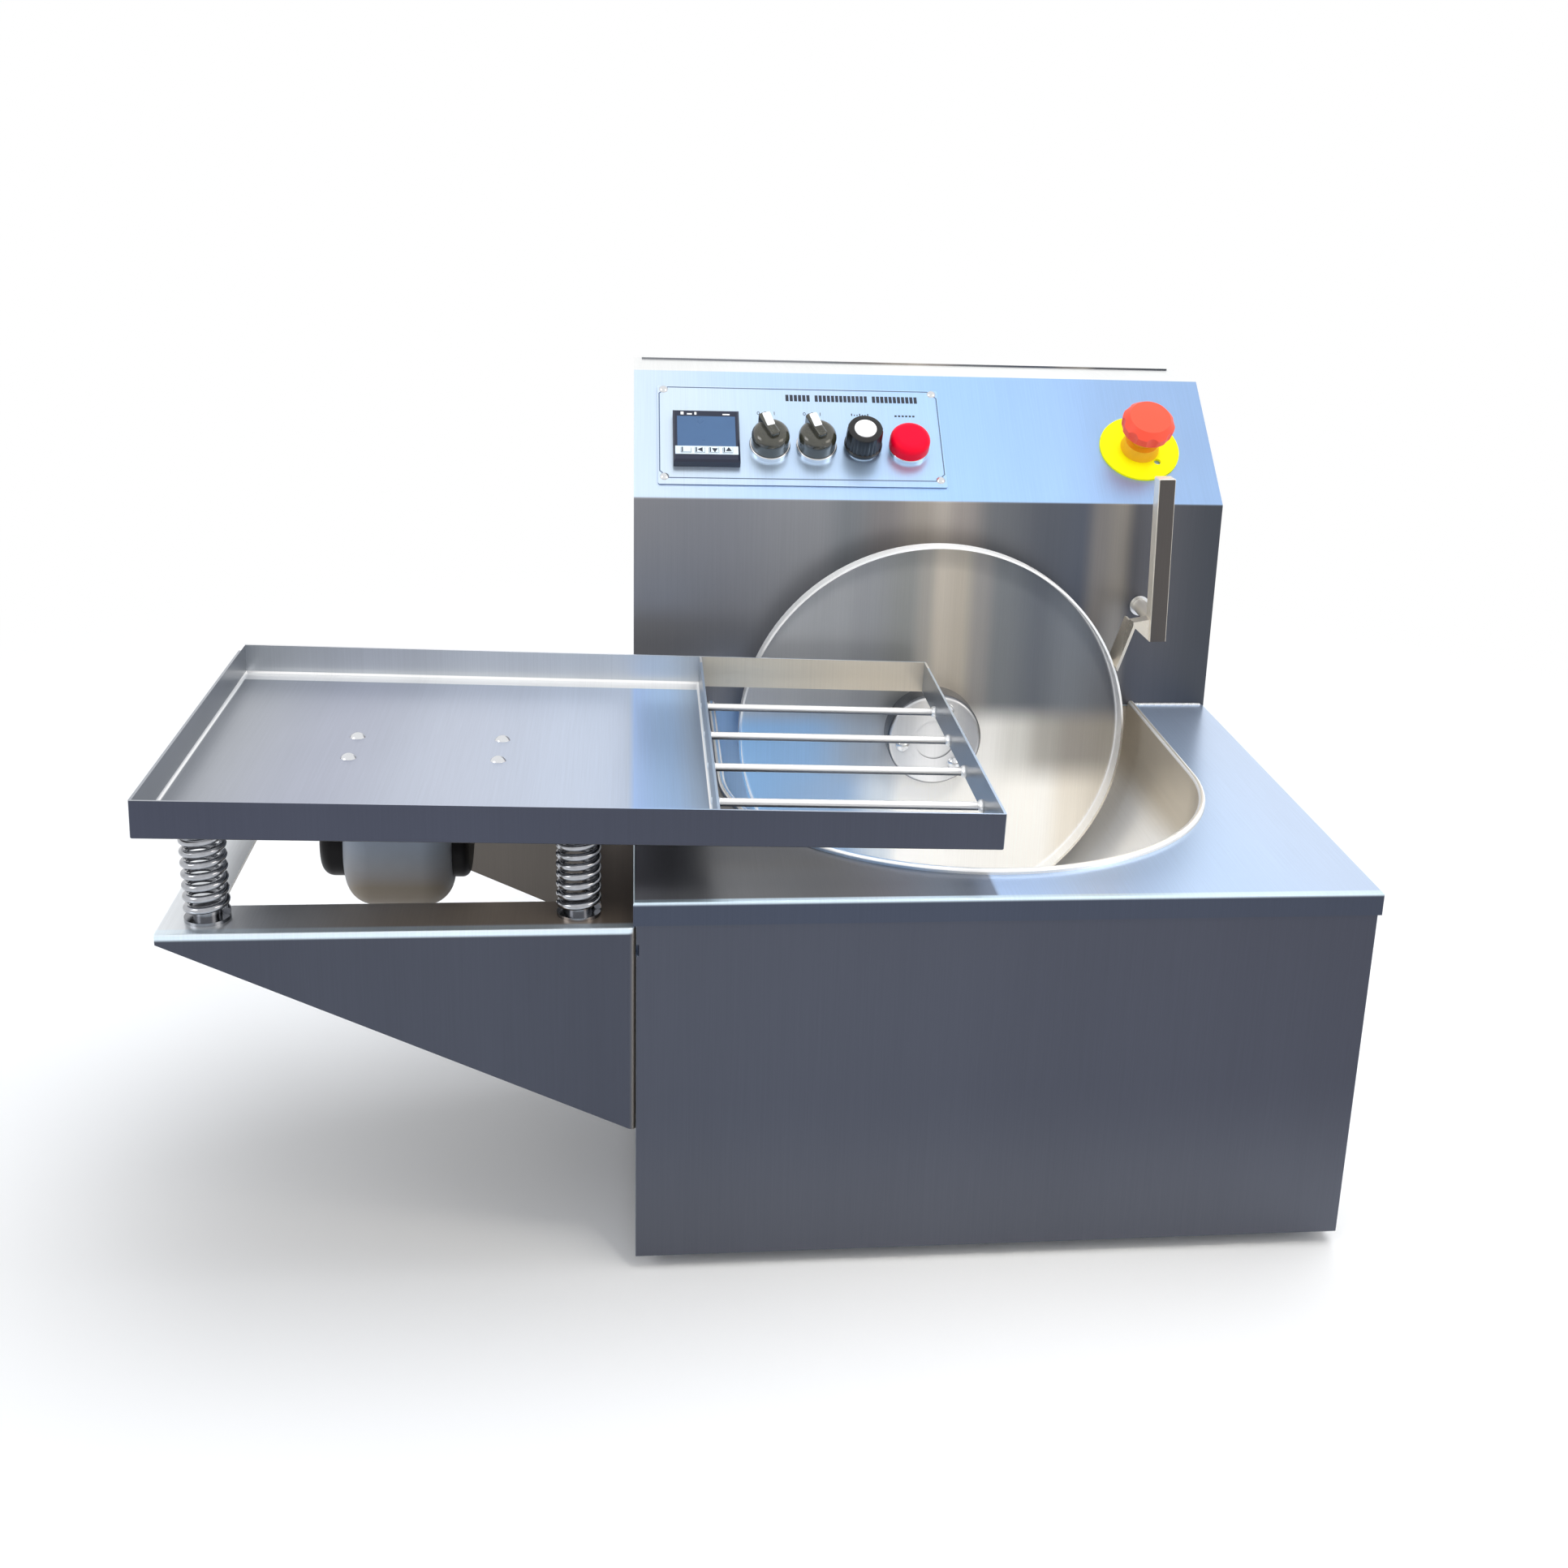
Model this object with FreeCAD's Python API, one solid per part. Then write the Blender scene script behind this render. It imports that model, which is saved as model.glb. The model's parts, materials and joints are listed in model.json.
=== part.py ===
import FreeCAD, Part
import math
import os

# Chocolate tempering machine: a folded stainless body with a heated bowl, a dipping wheel,
# a sloped control panel and a spring-mounted vibrating table hung on the left side.
# Sizes are in millimetres. The drawing frame has its origin at the front left bottom corner
# of the body: +X right, +Y to the back, +Z up. placed() moves finished pieces to the part's
# own frame, which stands the machine on the floor with the origin under its middle.

# ---------------------------------------------------------------- driving dimensions
SHEET = 1.5                 # body sheet
BRACKET_SHEET = 2.0
FOOT_HEIGHT = 10.0
BODY_WIDTH = 430.0
BODY_DEPTH = 512.0
DECK_HEIGHT = 226.0         # top of the work deck above the body's bottom edge
DECK_LIP = 14.0             # fold-down round the deck
PANEL_SETBACK = 350.0       # front of the body to the hood's upright panel
HOOD_HEIGHT = 458.0
SLOPE_RISE = 78.0           # from the bend in the hood's panel to its top
SLOPE_RUN = 92.0            # the slope's reach in Y
FOLD_RADIUS = 3.0

BOWL_RADIUS = 156.0
BOWL_STRAIGHT = 157.0       # hood panel to the middle of the bowl's round front
BOWL_WALL = 1.5
BOWL_RIM_WIDTH = 4.5
BOWL_RIM_HEIGHT = 3.0
AXIS_DROP = 9.0             # wheel axis below the deck's top
WHEEL_GAP = 15.5            # wheel rim to bowl wall
WHEEL_RIM = 15.0            # depth of the wheel's forward rim
WHEEL_SHEET = 1.5
WHEEL_STANDOFF = 32.0       # hood panel to the back of the wheel
SHAFT_RADIUS = 8.0
HUB_RADIUS = 34.0
HUB_LENGTH = 20.5
HUB_SCREW_CIRCLE = 23.5     # radius of the screw circle
HUB_SCREW_COUNT = 3
HUB_SCREW_TURN = 190.0      # first screw, counted from +X towards +Z

TRAY_OVERHANG = 262.0       # table beyond the body's left side
TRAY_REACH = 205.0          # table over the deck
TRAY_DEPTH = 293.0
TRAY_RIM = 21.5
TRAY_LIFT = 58.5            # table's rim above the deck, over the springs' middle
TABLE_SAG = 1.4             # degrees; the overhanging grid end hangs low on its springs
TRAY_DIVIDER = 45.0         # left face of the wall between pan and grid
ROD_COUNT = 4
ROD_RADIUS = 2.5
ROD_RISE = 3.5              # rod centre above the pan's underside

BRACKET_LENGTH = 254.0
BRACKET_DEPTH = 256.0
BRACKET_DROP = 15.0         # bracket's top below the deck's
GUSSET_HEIGHT = 127.0       # at the body
BRACKET_NOSE = 6.0          # height of the gussets' outer end
BRACKET_BEND = 5.0          # outside radius of the folds at the body
FLANGE_FRONT = 37.0
FLANGE_OUTER = 27.0
FLANGE_INNER = 31.0

SPRING_RADIUS = 12.5        # outside
SPRING_WIRE = 2.1           # wire radius
SPRING_TURNS = 7
SPRING_INSET_X = 23.5       # bracket's outer end to the outer springs
SPRING_INSET_Y = 21.0
SPRING_SPAN = 200.5
SEAT_PLATE = 2.0
SEAT_STUB_HEIGHT = 6.0

VIBRATOR_X = -140.0
VIBRATOR_RADIUS = 45.0
VIBRATOR_LENGTH = 64.0
VIBRATOR_SHOULDER = 17.0    # rounding of the barrel's ends
VIBRATOR_CAP_LEFT = 15.0
VIBRATOR_CAP_RIGHT = 10.0
VIBRATOR_CAP_RADIUS = 27.5
VIBRATOR_FOOT_X = -125.0
VIBRATOR_FOOT_LENGTH = 104.0
VIBRATOR_FOOT_WIDTH = 56.0
VIBRATOR_FOOT_SHEET = 5.0
VIBRATOR_BOLTS_X = 88.0
VIBRATOR_BOLTS_Y = 38.0

PLATE_LEFT = 17.0
PLATE_WIDTH = 209.0
PLATE_LOW = 12.0            # up the slope from the bend
PLATE_HEIGHT = 92.5
PLATE_CORNER = 1.5
PLATE_SHEET = 1.0
CONTROL_ROW = 52.0          # controller and stop button up the slope from the bend
KNOB_ROW = 48.0             # knobs and lamp up the slope from the bend
CONTROLLER_X = 52.0
CONTROLLER_SIZE = 48.0
CONTROLLER_FACE = 7.0
CONTROLLER_BODY = 45.0
CONTROLLER_DEPTH = 72.0
KEY_COUNT = 4
KEY_PITCH = 10.0
KEY_WIDTH = 7.0
KEY_HEIGHT = 4.6
KEY_TRAVEL = 0.6
HEATING_X = 98.0
CONTROL_PITCH = 34.0
KNOB_RADIUS = 13.9
KNOB_HEIGHT = 15.0
GRIP_HEIGHT = 19.5
COLLAR_RADIUS = 15.0
LAMP_HEIGHT = 12.0
COLLAR_HEIGHT = 3.5
BARREL_RADIUS = 11.0
SPINDLE_RADIUS = 3.0
ESTOP_X = 374.5
ESTOP_DISC_RADIUS = 30.0
ESTOP_HEAD_RADIUS = 19.5
ESTOP_TRAVEL = 5.0

LEVER_X = 373.0             # scraper pivot
LEVER_RISE = 78.0           # scraper pivot above the deck
LEVER_WIDTH = 12.0
LEVER_LEAN = 1.5            # degrees; the bar's top leans to the left at rest
LEVER_DEPTH = 13.0
LEVER_STANDOFF = 41.0       # hood panel to the back of the lever
LEVER_ABOVE = 105.0
LEVER_BELOW = 13.0
STUD_RADIUS = 3.0
SLEEVE_RADIUS = 5.5
BLADE_SHEET = 2.0
BLADE_OVERLAP = 5.0         # blade beyond the wheel's rim, in front and behind
LUG_REACH = 12.0
LUG_LOW = 2.0
BLADE_CONTACT = 22.5        # degrees above the axis where the blade meets the rim

GLAND_PROJECTION = 18.0
RUN_FIT = 0.05              # radial clearance of running fits
SLIP = 0.3                  # clearance where pieces pass without running
TOUCH = 0.4                 # blade to wheel rim

# ---------------------------------------------------------------- places worked out from them
BEND_HEIGHT = HOOD_HEIGHT - SLOPE_RISE
SLOPE_TOP_Y = PANEL_SETBACK + SLOPE_RUN
SLOPE_ANGLE = math.degrees(math.atan2(HOOD_HEIGHT - BEND_HEIGHT, SLOPE_RUN))
AXIS_X = BODY_WIDTH / 2
AXIS_Z = DECK_HEIGHT - AXIS_DROP
BOWL_OUTER = BOWL_RADIUS + BOWL_WALL
BOWL_FRONT_Y = PANEL_SETBACK - BOWL_STRAIGHT
WHEEL_RADIUS = BOWL_RADIUS - WHEEL_GAP
WHEEL_BACK_Y = PANEL_SETBACK - WHEEL_STANDOFF
WHEEL_FACE_Y = WHEEL_BACK_Y - WHEEL_SHEET
TRAY_TOP = DECK_HEIGHT + TRAY_LIFT
PAN_FLOOR = TRAY_TOP - TRAY_RIM
BRACKET_TOP = DECK_HEIGHT - BRACKET_DROP
BRACKET_FOOT = BRACKET_TOP - GUSSET_HEIGHT
LEVER_Z = DECK_HEIGHT + LEVER_RISE
LEVER_BACK_Y = PANEL_SETBACK - LEVER_STANDOFF
BACK_PLATE_Y = PANEL_SETBACK + SHEET
TRAY_MIDDLE_Y = TRAY_DEPTH / 2
SIDE_FACE_X = SHEET
VIBRATOR_NECK = 3.0         # foot to the top of the barrel
VIBRATOR_Z = PAN_FLOOR - VIBRATOR_FOOT_SHEET - VIBRATOR_NECK - VIBRATOR_RADIUS
SPRINGS_MIDDLE_X = -BRACKET_LENGTH + SPRING_INSET_X + SPRING_SPAN / 2

SHIFT = FreeCAD.Vector((TRAY_OVERHANG - BODY_WIDTH) / 2, -(BODY_DEPTH + GLAND_PROJECTION) / 2,
                       FOOT_HEIGHT)
V = FreeCAD.Vector
X_DIR = V(1, 0, 0)
Y_DIR = V(0, 1, 0)
Z_DIR = V(0, 0, 1)


# ---------------------------------------------------------------- helpers
def box(x0, x1, y0, y1, z0, z1):
    return Part.makeBox(x1 - x0, y1 - y0, z1 - z0, V(x0, y0, z0))


def rod(base, direction, radius, length):
    return Part.makeCylinder(radius, length, base, direction)


def ring(base, direction, outer, inner, length):
    return rod(base, direction, outer, length).cut(rod(base, direction, inner, length))


def extrude_yz(points, x0, x1):
    """Prism along X from a closed outline of (y, z) points."""
    corners = [V(x0, y, z) for y, z in points]
    return Part.Face(Part.makePolygon(corners + corners[:1])).extrude(V(x1 - x0, 0, 0))


def extrude_xz(points, y0, y1):
    """Prism along Y from a closed outline of (x, z) points."""
    corners = [V(x, y0, z) for x, z in points]
    return Part.Face(Part.makePolygon(corners + corners[:1])).extrude(V(0, y1 - y0, 0))


def extrude_xy(points, z0, z1):
    """Prism along Z from a closed outline of (x, y) points."""
    corners = [V(x, y, z0) for x, y in points]
    return Part.Face(Part.makePolygon(corners + corners[:1])).extrude(V(0, 0, z1 - z0))


def turned(points, centre, axis, radial):
    """Solid of revolution: points are (radius, distance along the axis)."""
    corners = [centre + radial * r + axis * a for r, a in points]
    face = Part.Face(Part.makePolygon(corners + corners[:1]))
    return face.revolve(centre, axis, 360)


def hexagon(base, direction, across_flats, length):
    """Hexagonal prism, such as a nut or a bolt head."""
    radius = across_flats / math.sqrt(3)
    helper = Part.Circle(base, direction, radius).toShape()
    first, last = helper.ParameterRange
    step = (last - first) / 6
    corners = [helper.valueAt(first + step * i) for i in range(6)]
    return Part.Face(Part.makePolygon(corners + corners[:1])).extrude(direction * length)


def fillet_where(shape, radius, wanted):
    """Round the edges for which wanted(middle, direction) is true."""
    picked = []
    for edge in shape.Edges:
        middle = edge.valueAt((edge.FirstParameter + edge.LastParameter) / 2)
        direction = edge.tangentAt(edge.FirstParameter)
        if wanted(middle, direction):
            picked.append(edge)
    return shape.makeFillet(radius, picked)


def near(a, b):
    return abs(a - b) < 0.01


def fuse_all(shapes):
    result = shapes[0]
    for other in shapes[1:]:
        result = result.fuse(other)
    return result.removeSplitter()


def cut_all(shape, tools):
    for tool in tools:
        shape = shape.cut(tool)
    return shape


def on_slope(shape, x=0.0, up=0.0):
    """Carry a shape drawn flat (Z out of the panel) to the hood's slope."""
    moved = shape.copy()
    moved.translate(V(x, up, 0))
    moved.Placement = FreeCAD.Placement(V(0, PANEL_SETBACK, BEND_HEIGHT),
                                        FreeCAD.Rotation(X_DIR, SLOPE_ANGLE)).multiply(moved.Placement)
    return moved


def sagged(shape):
    """Tilt a finished piece of the table about the springs' middle, grid end down."""
    solids = shape if isinstance(shape, list) else [shape]
    tilted = []
    for solid in solids:
        copy = solid.copy()
        copy.rotate(V(SPRINGS_MIDDLE_X, 0, PAN_FLOOR), Y_DIR, TABLE_SAG)
        tilted.append(copy)
    return tilted


def table_drop(x):
    """How far the sagging table's underside lies below its middle height at x."""
    return (x - SPRINGS_MIDDLE_X) * math.tan(math.radians(TABLE_SAG))


def control_x(index):
    """Heating, vibration, speed and power lamp stand in one row."""
    return HEATING_X + CONTROL_PITCH * index


def slab_u(radius, y_end, z0, z1):
    """U-shaped slab: the bowl's plan, half round at the front and straight to y_end."""
    front = rod(V(AXIS_X, BOWL_FRONT_Y, z0), Z_DIR, radius, z1 - z0)
    sides = box(AXIS_X - radius, AXIS_X + radius, BOWL_FRONT_Y, y_end, z0, z1)
    behind = box(AXIS_X - radius, AXIS_X + radius, y_end, y_end + radius, z0, z1)
    return front.fuse(sides).cut(behind).removeSplitter()


def hollow_form(radius, y_end, z_top):
    """Half drum behind, quarter ball in front and an upright collar: the bowl's form."""
    drum = rod(V(AXIS_X, BOWL_FRONT_Y, AXIS_Z), Y_DIR, radius, y_end - BOWL_FRONT_Y)
    ball = Part.makeSphere(radius, V(AXIS_X, BOWL_FRONT_Y, AXIS_Z), Z_DIR)
    top = radius + 10
    drum = drum.cut(box(AXIS_X - top, AXIS_X + top, 0, BODY_DEPTH, AXIS_Z, AXIS_Z + top))
    ball = ball.common(box(AXIS_X - top, AXIS_X + top, BOWL_FRONT_Y - top, BOWL_FRONT_Y,
                           AXIS_Z - top, AXIS_Z))
    collar = slab_u(radius, y_end, AXIS_Z, z_top)
    return drum.fuse(ball).fuse(collar).removeSplitter()


# ---------------------------------------------------------------- body
FOOT_RADIUS = 17.0
FOOT_INSET = 45.0
BASE_FLANGE = 12.0
DECK_TUCK = 9.0             # deck sheet behind the hood's panel
TONGUE_RADIUS = 40.0        # bowl back plate round the shaft
HOUSING_BOSS_RADIUS = 25.0
HOUSING_FLANGE_RADIUS = 38.0
HOUSING_FRONT = 7.0         # boss in front of the hood's panel
HOUSING_REAR = 18.0
DECK_UNDER = DECK_HEIGHT - SHEET
LIP_BOTTOM = DECK_HEIGHT - DECK_LIP
REAR_FACE_Y = BODY_DEPTH - SHEET
SLOT_DROP = 12.0            # corner slot below the deck's lip
SLOT_HEIGHT = 7.0
SLOT_DEPTH = 9.0
HEM_REACH = 10.0            # hood sheet folded back on itself along its rear edge
HEM_INSET = 6.0


def foot_places():
    for x in (FOOT_INSET, BODY_WIDTH - FOOT_INSET):
        for y in (FOOT_INSET, BODY_DEPTH - FOOT_INSET):
            yield x, y


def base_plate():
    outer = box(2 * SHEET, BODY_WIDTH - 2 * SHEET, 2 * SHEET, REAR_FACE_Y, 0, BASE_FLANGE)
    inner = box(3 * SHEET, BODY_WIDTH - 3 * SHEET, 3 * SHEET, REAR_FACE_Y - SHEET, SHEET,
                BASE_FLANGE)
    holes = [rod(V(x, y, 0), Z_DIR, FOOT_SCREW_RADIUS, SHEET) for x, y in foot_places()]
    return cut_all(outer.cut(inner), holes)


FOOT_SCREW_RADIUS = 3.0


def rubber_feet():
    """Tapered rubber feet, each with its moulded-in stud through the base plate."""
    feet = []
    for x, y in foot_places():
        foot = Part.makeCone(FOOT_RADIUS - 2, FOOT_RADIUS, FOOT_HEIGHT, V(x, y, -FOOT_HEIGHT), Z_DIR)
        stud = rod(V(x, y, 0), Z_DIR, FOOT_SCREW_RADIUS, SHEET)
        nut = hexagon(V(x, y, SHEET), Z_DIR, 10.0, 5.0)
        feet.append(fuse_all([foot, stud, nut]))
    return feet


def corner_slot():
    """Open slot left in the corner seam, where the front and left panels meet."""
    top = LIP_BOTTOM - SLOT_DROP
    return box(0, 2 * SHEET + SLIP, 0, SLOT_DEPTH, top - SLOT_HEIGHT, top)


def front_panel():
    panel = box(SHEET, BODY_WIDTH - SHEET, SHEET, 2 * SHEET, 0, DECK_UNDER)
    panel = fillet_where(panel, SHEET * 0.6, lambda m, d: near(abs(d.z), 1) and near(m.y, SHEET))
    return panel.cut(corner_slot())


def left_side_panel():
    panel = box(SHEET, 2 * SHEET, 2 * SHEET, REAR_FACE_Y, 0, DECK_UNDER)
    holes = [rod(V(0, y, z), X_DIR, BOLT_RADIUS + SLIP, 3 * SHEET) for y, z in bracket_bolt_places()]
    return cut_all(panel, holes + [corner_slot()])


def right_side_panel():
    return box(BODY_WIDTH - 2 * SHEET, BODY_WIDTH - SHEET, 2 * SHEET, REAR_FACE_Y, 0, DECK_UNDER)


def deck():
    """Lid with folded-down lips, cut out in a U for the bowl."""
    back = PANEL_SETBACK + DECK_TUCK
    outer = box(0, BODY_WIDTH, 0, back, LIP_BOTTOM, DECK_HEIGHT)
    outer = fillet_where(outer, SHEET, lambda m, d: near(m.z, DECK_HEIGHT) and m.y < back - 1)
    inner = box(SHEET, BODY_WIDTH - SHEET, SHEET, back, LIP_BOTTOM, DECK_UNDER)
    behind_left = box(0, SHEET, PANEL_SETBACK, back, LIP_BOTTOM, DECK_HEIGHT)
    behind_right = box(BODY_WIDTH - SHEET, BODY_WIDTH, PANEL_SETBACK, back, LIP_BOTTOM, DECK_HEIGHT)
    mouth = slab_u(BOWL_OUTER + SLIP, BACK_PLATE_Y, DECK_UNDER - 1, DECK_HEIGHT + 1)
    reach = TONGUE_RADIUS + SLIP
    notch = box(AXIS_X - reach, AXIS_X + reach, BACK_PLATE_Y - 1, back + 1, DECK_UNDER - 1,
                DECK_HEIGHT + 1)
    return cut_all(outer, [inner, behind_left, behind_right, mouth, notch])


def hood_profile(inset):
    """The hood's section, moved inwards by inset from the outer faces."""
    slope = math.radians(SLOPE_ANGLE)
    front_y = PANEL_SETBACK + inset
    top_z = HOOD_HEIGHT - inset
    bend_z = BEND_HEIGHT + inset * (math.tan(slope) - 1 / math.cos(slope))
    top_y = SLOPE_TOP_Y + inset * (1 / math.sin(slope) - 1 / math.tan(slope))
    return front_y, bend_z, top_y, top_z


def hood_skin():
    """One folded sheet: upright panel, control slope and top, with welded cheeks."""
    front_y, bend_z, top_y, top_z = hood_profile(0)
    outline = [(front_y, LIP_BOTTOM), (front_y, bend_z), (top_y, top_z), (BODY_DEPTH, top_z),
               (BODY_DEPTH, LIP_BOTTOM)]
    outer = extrude_yz(outline, 0, BODY_WIDTH)

    def is_fold(middle, direction):
        along_x = near(abs(direction.x), 1)
        return along_x and (near(middle.z, bend_z) or (near(middle.z, top_z) and near(middle.y, top_y)))

    outer = fillet_where(outer, FOLD_RADIUS, is_fold)
    in_y, in_bend, in_top_y, in_top = hood_profile(SHEET)
    room = [(in_y, LIP_BOTTOM - 1), (in_y, in_bend), (in_top_y, in_top), (BODY_DEPTH + 1, in_top),
            (BODY_DEPTH + 1, LIP_BOTTOM - 1)]
    inner = extrude_yz(room, SHEET, BODY_WIDTH - SHEET)
    below_panel = box(SHEET, BODY_WIDTH - SHEET, PANEL_SETBACK - 1, PANEL_SETBACK + 2 * SHEET,
                      LIP_BOTTOM - 1, DECK_HEIGHT)
    arch_radius = HOUSING_BOSS_RADIUS + SLIP
    arch = rod(V(AXIS_X, PANEL_SETBACK - 1, AXIS_Z), Y_DIR, arch_radius, 2 * SHEET)
    stud_hole = rod(V(LEVER_X, PANEL_SETBACK - 1, LEVER_Z), Y_DIR, STUD_RADIUS, 2 * SHEET)
    hem = box(HEM_INSET, BODY_WIDTH - HEM_INSET, BODY_DEPTH - HEM_REACH, BODY_DEPTH, top_z, top_z + SHEET)
    shell = cut_all(outer, [inner, below_panel, arch, stud_hole]).fuse(hem)
    return cut_all(shell, panel_cutouts(-SHEET - 1, 0.5))


def panel_cutouts(low, high):
    """Cut-outs for the controls, from low to high out of the slope's face."""
    half = CONTROLLER_BODY / 2 + SLIP
    tools = [on_slope(box(-half, half, -half, half, low, high), CONTROLLER_X, CONTROL_ROW)]
    for index in range(4):
        barrel = rod(V(0, 0, low), Z_DIR, BARREL_RADIUS + SLIP, high - low)
        tools.append(on_slope(barrel, control_x(index), KNOB_ROW))
    barrel = rod(V(0, 0, low), Z_DIR, BARREL_RADIUS + SLIP, high - low)
    tools.append(on_slope(barrel, ESTOP_X, CONTROL_ROW))
    for x, up in plate_screw_places():
        tools.append(on_slope(rod(V(0, 0, low), Z_DIR, PLATE_SCREW_RADIUS, high - low), x, up))
    return tools


FAN_FROM_SIDE = 100.0
FAN_X = BODY_WIDTH - FAN_FROM_SIDE
FAN_Z = 110.0
FAN_SIZE = 92.0
FAN_DEPTH = 25.0
FAN_BORE = 43.5
FAN_HUB = 18.0
FAN_SPINDLE = 2.0
FAN_PLATE = 4.0
FAN_BEARING = 5.0
FAN_FRONT_GAP = 2.0
FAN_HUB_LENGTH = 17.5
COVER_SCREW_RADIUS = 2.0
COVER_SCREW_HEAD = 3.8
COVER_SCREW_INSET = 14.0
COVER_SCREW_LOW = 20.0
COVER_SCREW_PITCH = (HOOD_HEIGHT - COVER_SCREW_INSET - COVER_SCREW_LOW) / 3
SLOT_ROWS = 7
SLOT_PITCH = 12.0
SLOT_WIDTH = 5.0
SLOTS_LOW = 330.0
SLOTS_LENGTH = 130.0
GLAND_X = 60.0
GLAND_Z = 42.0
GLAND_RADIUS = 10.0
SUPPLY_X = 90.0
SUPPLY_LENGTH = 110.0
SUPPLY_WIDTH = 78.0
SUPPLY_HEIGHT = 35.5
SUPPLY_BEHIND = 42.5        # room behind the supply
SUPPLY_STEP = 14.0          # ledge of its terminals


def cover_screw_places():
    for x in (COVER_SCREW_INSET, BODY_WIDTH - COVER_SCREW_INSET):
        for row in range(4):
            yield x, COVER_SCREW_LOW + row * COVER_SCREW_PITCH


def rear_cover():
    """Flat back with a punched fan grille, exhaust slots and the mains gland's hole."""
    cover = box(SHEET, BODY_WIDTH - SHEET, REAR_FACE_Y, BODY_DEPTH, 0, HOOD_HEIGHT - SHEET)
    tools = []
    for ring_radius in (14.0, 22.0, 30.0, 38.0):
        slot = ring(V(FAN_X, REAR_FACE_Y - 1, FAN_Z), Y_DIR, ring_radius + 2.4, ring_radius - 2.4,
                    SHEET + 2)
        for turn in (45, 135):
            bar = box(-FAN_SIZE, FAN_SIZE, REAR_FACE_Y - 2, BODY_DEPTH + 2, -2.2, 2.2)
            bar.rotate(V(0, 0, 0), Y_DIR, turn)
            bar.translate(V(FAN_X, 0, FAN_Z))
            slot = slot.cut(bar)
        tools.append(slot)
    for row in range(SLOT_ROWS):
        z = SLOTS_LOW + SLOT_PITCH * row
        tools.append(box(AXIS_X - SLOTS_LENGTH / 2, AXIS_X + SLOTS_LENGTH / 2, REAR_FACE_Y - 1,
                         BODY_DEPTH + 1, z, z + SLOT_WIDTH))
    tools.append(rod(V(GLAND_X, REAR_FACE_Y - 1, GLAND_Z), Y_DIR, GLAND_RADIUS, SHEET + 2))
    for x, z in cover_screw_places():
        tools.append(rod(V(x, REAR_FACE_Y - 1, z), Y_DIR, COVER_SCREW_RADIUS, SHEET + 2))
    return cut_all(cover, tools)


def dome_head(base, direction, radius, height):
    """Low domed screw head that stands on base."""
    ball_radius = (radius * radius + height * height) / (2 * height)
    ball = Part.makeSphere(ball_radius, base - direction * (ball_radius - height))
    return ball.common(rod(base, direction, radius, height + 1))


def cover_screws():
    screws = []
    for x, z in cover_screw_places():
        head = dome_head(V(x, BODY_DEPTH, z), Y_DIR, COVER_SCREW_HEAD, 2.2)
        shank = rod(V(x, BODY_DEPTH - 8, z), Y_DIR, COVER_SCREW_RADIUS, 8)
        screws.append(head.fuse(shank))
    return screws


def cable_gland():
    """Mains inlet gland: locknut inside, body and dome nut outside, with a clear bore."""
    inside = hexagon(V(GLAND_X, REAR_FACE_Y - 5, GLAND_Z), Y_DIR, 24.0, 5.0)
    thread = rod(V(GLAND_X, REAR_FACE_Y - 8, GLAND_Z), Y_DIR, GLAND_RADIUS, 8 + SHEET)
    flange = hexagon(V(GLAND_X, BODY_DEPTH, GLAND_Z), Y_DIR, 24.0, 6.0)
    dome = Part.makeCone(11.5, 8.0, GLAND_PROJECTION - 6, V(GLAND_X, BODY_DEPTH + 6, GLAND_Z), Y_DIR)
    solid = fuse_all([inside, thread, flange, dome])
    return solid.cut(rod(V(GLAND_X, REAR_FACE_Y - 9, GLAND_Z), Y_DIR, 4.5, GLAND_PROJECTION + 20))


def fan_frame():
    half = FAN_SIZE / 2
    y0 = REAR_FACE_Y - FAN_DEPTH
    frame = box(FAN_X - half, FAN_X + half, y0, REAR_FACE_Y, FAN_Z - half, FAN_Z + half)
    frame = fillet_where(frame, 5.0, lambda m, d: near(abs(d.y), 1))
    frame = frame.cut(rod(V(FAN_X, y0 - 1, FAN_Z), Y_DIR, FAN_BORE, FAN_DEPTH + 2))
    plate = rod(V(FAN_X, REAR_FACE_Y - FAN_PLATE, FAN_Z), Y_DIR, FAN_HUB, FAN_PLATE)
    spokes = []
    for turn in (0, 120, 240):
        spoke = box(-2, 2, REAR_FACE_Y - FAN_PLATE, REAR_FACE_Y, 0, FAN_BORE + 1)
        spoke.rotate(V(0, 0, 0), Y_DIR, turn)
        spoke.translate(V(FAN_X, 0, FAN_Z))
        spokes.append(spoke)
    frame = fuse_all([frame, plate] + spokes)
    bearing = rod(V(FAN_X, REAR_FACE_Y - FAN_BEARING, FAN_Z), Y_DIR, FAN_SPINDLE + RUN_FIT,
                  FAN_BEARING - 1)
    return frame.cut(bearing)


def fan_rotor():
    y0 = REAR_FACE_Y - FAN_DEPTH + FAN_FRONT_GAP
    hub = rod(V(FAN_X, y0, FAN_Z), Y_DIR, FAN_HUB, FAN_HUB_LENGTH)
    spindle_end = REAR_FACE_Y - FAN_BEARING + 3
    pieces = [hub, rod(V(FAN_X, y0 + 1, FAN_Z), Y_DIR, FAN_SPINDLE, spindle_end - y0 - 1)]
    for index in range(7):
        blade = box(-10.5, 10.5, -0.8, 0.8, FAN_HUB - 1, FAN_BORE - 1.5)
        blade.rotate(V(0, 0, 0), Z_DIR, 38)
        blade.translate(V(0, y0 + FAN_HUB_LENGTH / 2, 0))
        blade.rotate(V(0, 0, 0), Y_DIR, index * 360 / 7)
        blade.translate(V(FAN_X, 0, FAN_Z))
        pieces.append(blade)
    return fuse_all(pieces)


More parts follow.
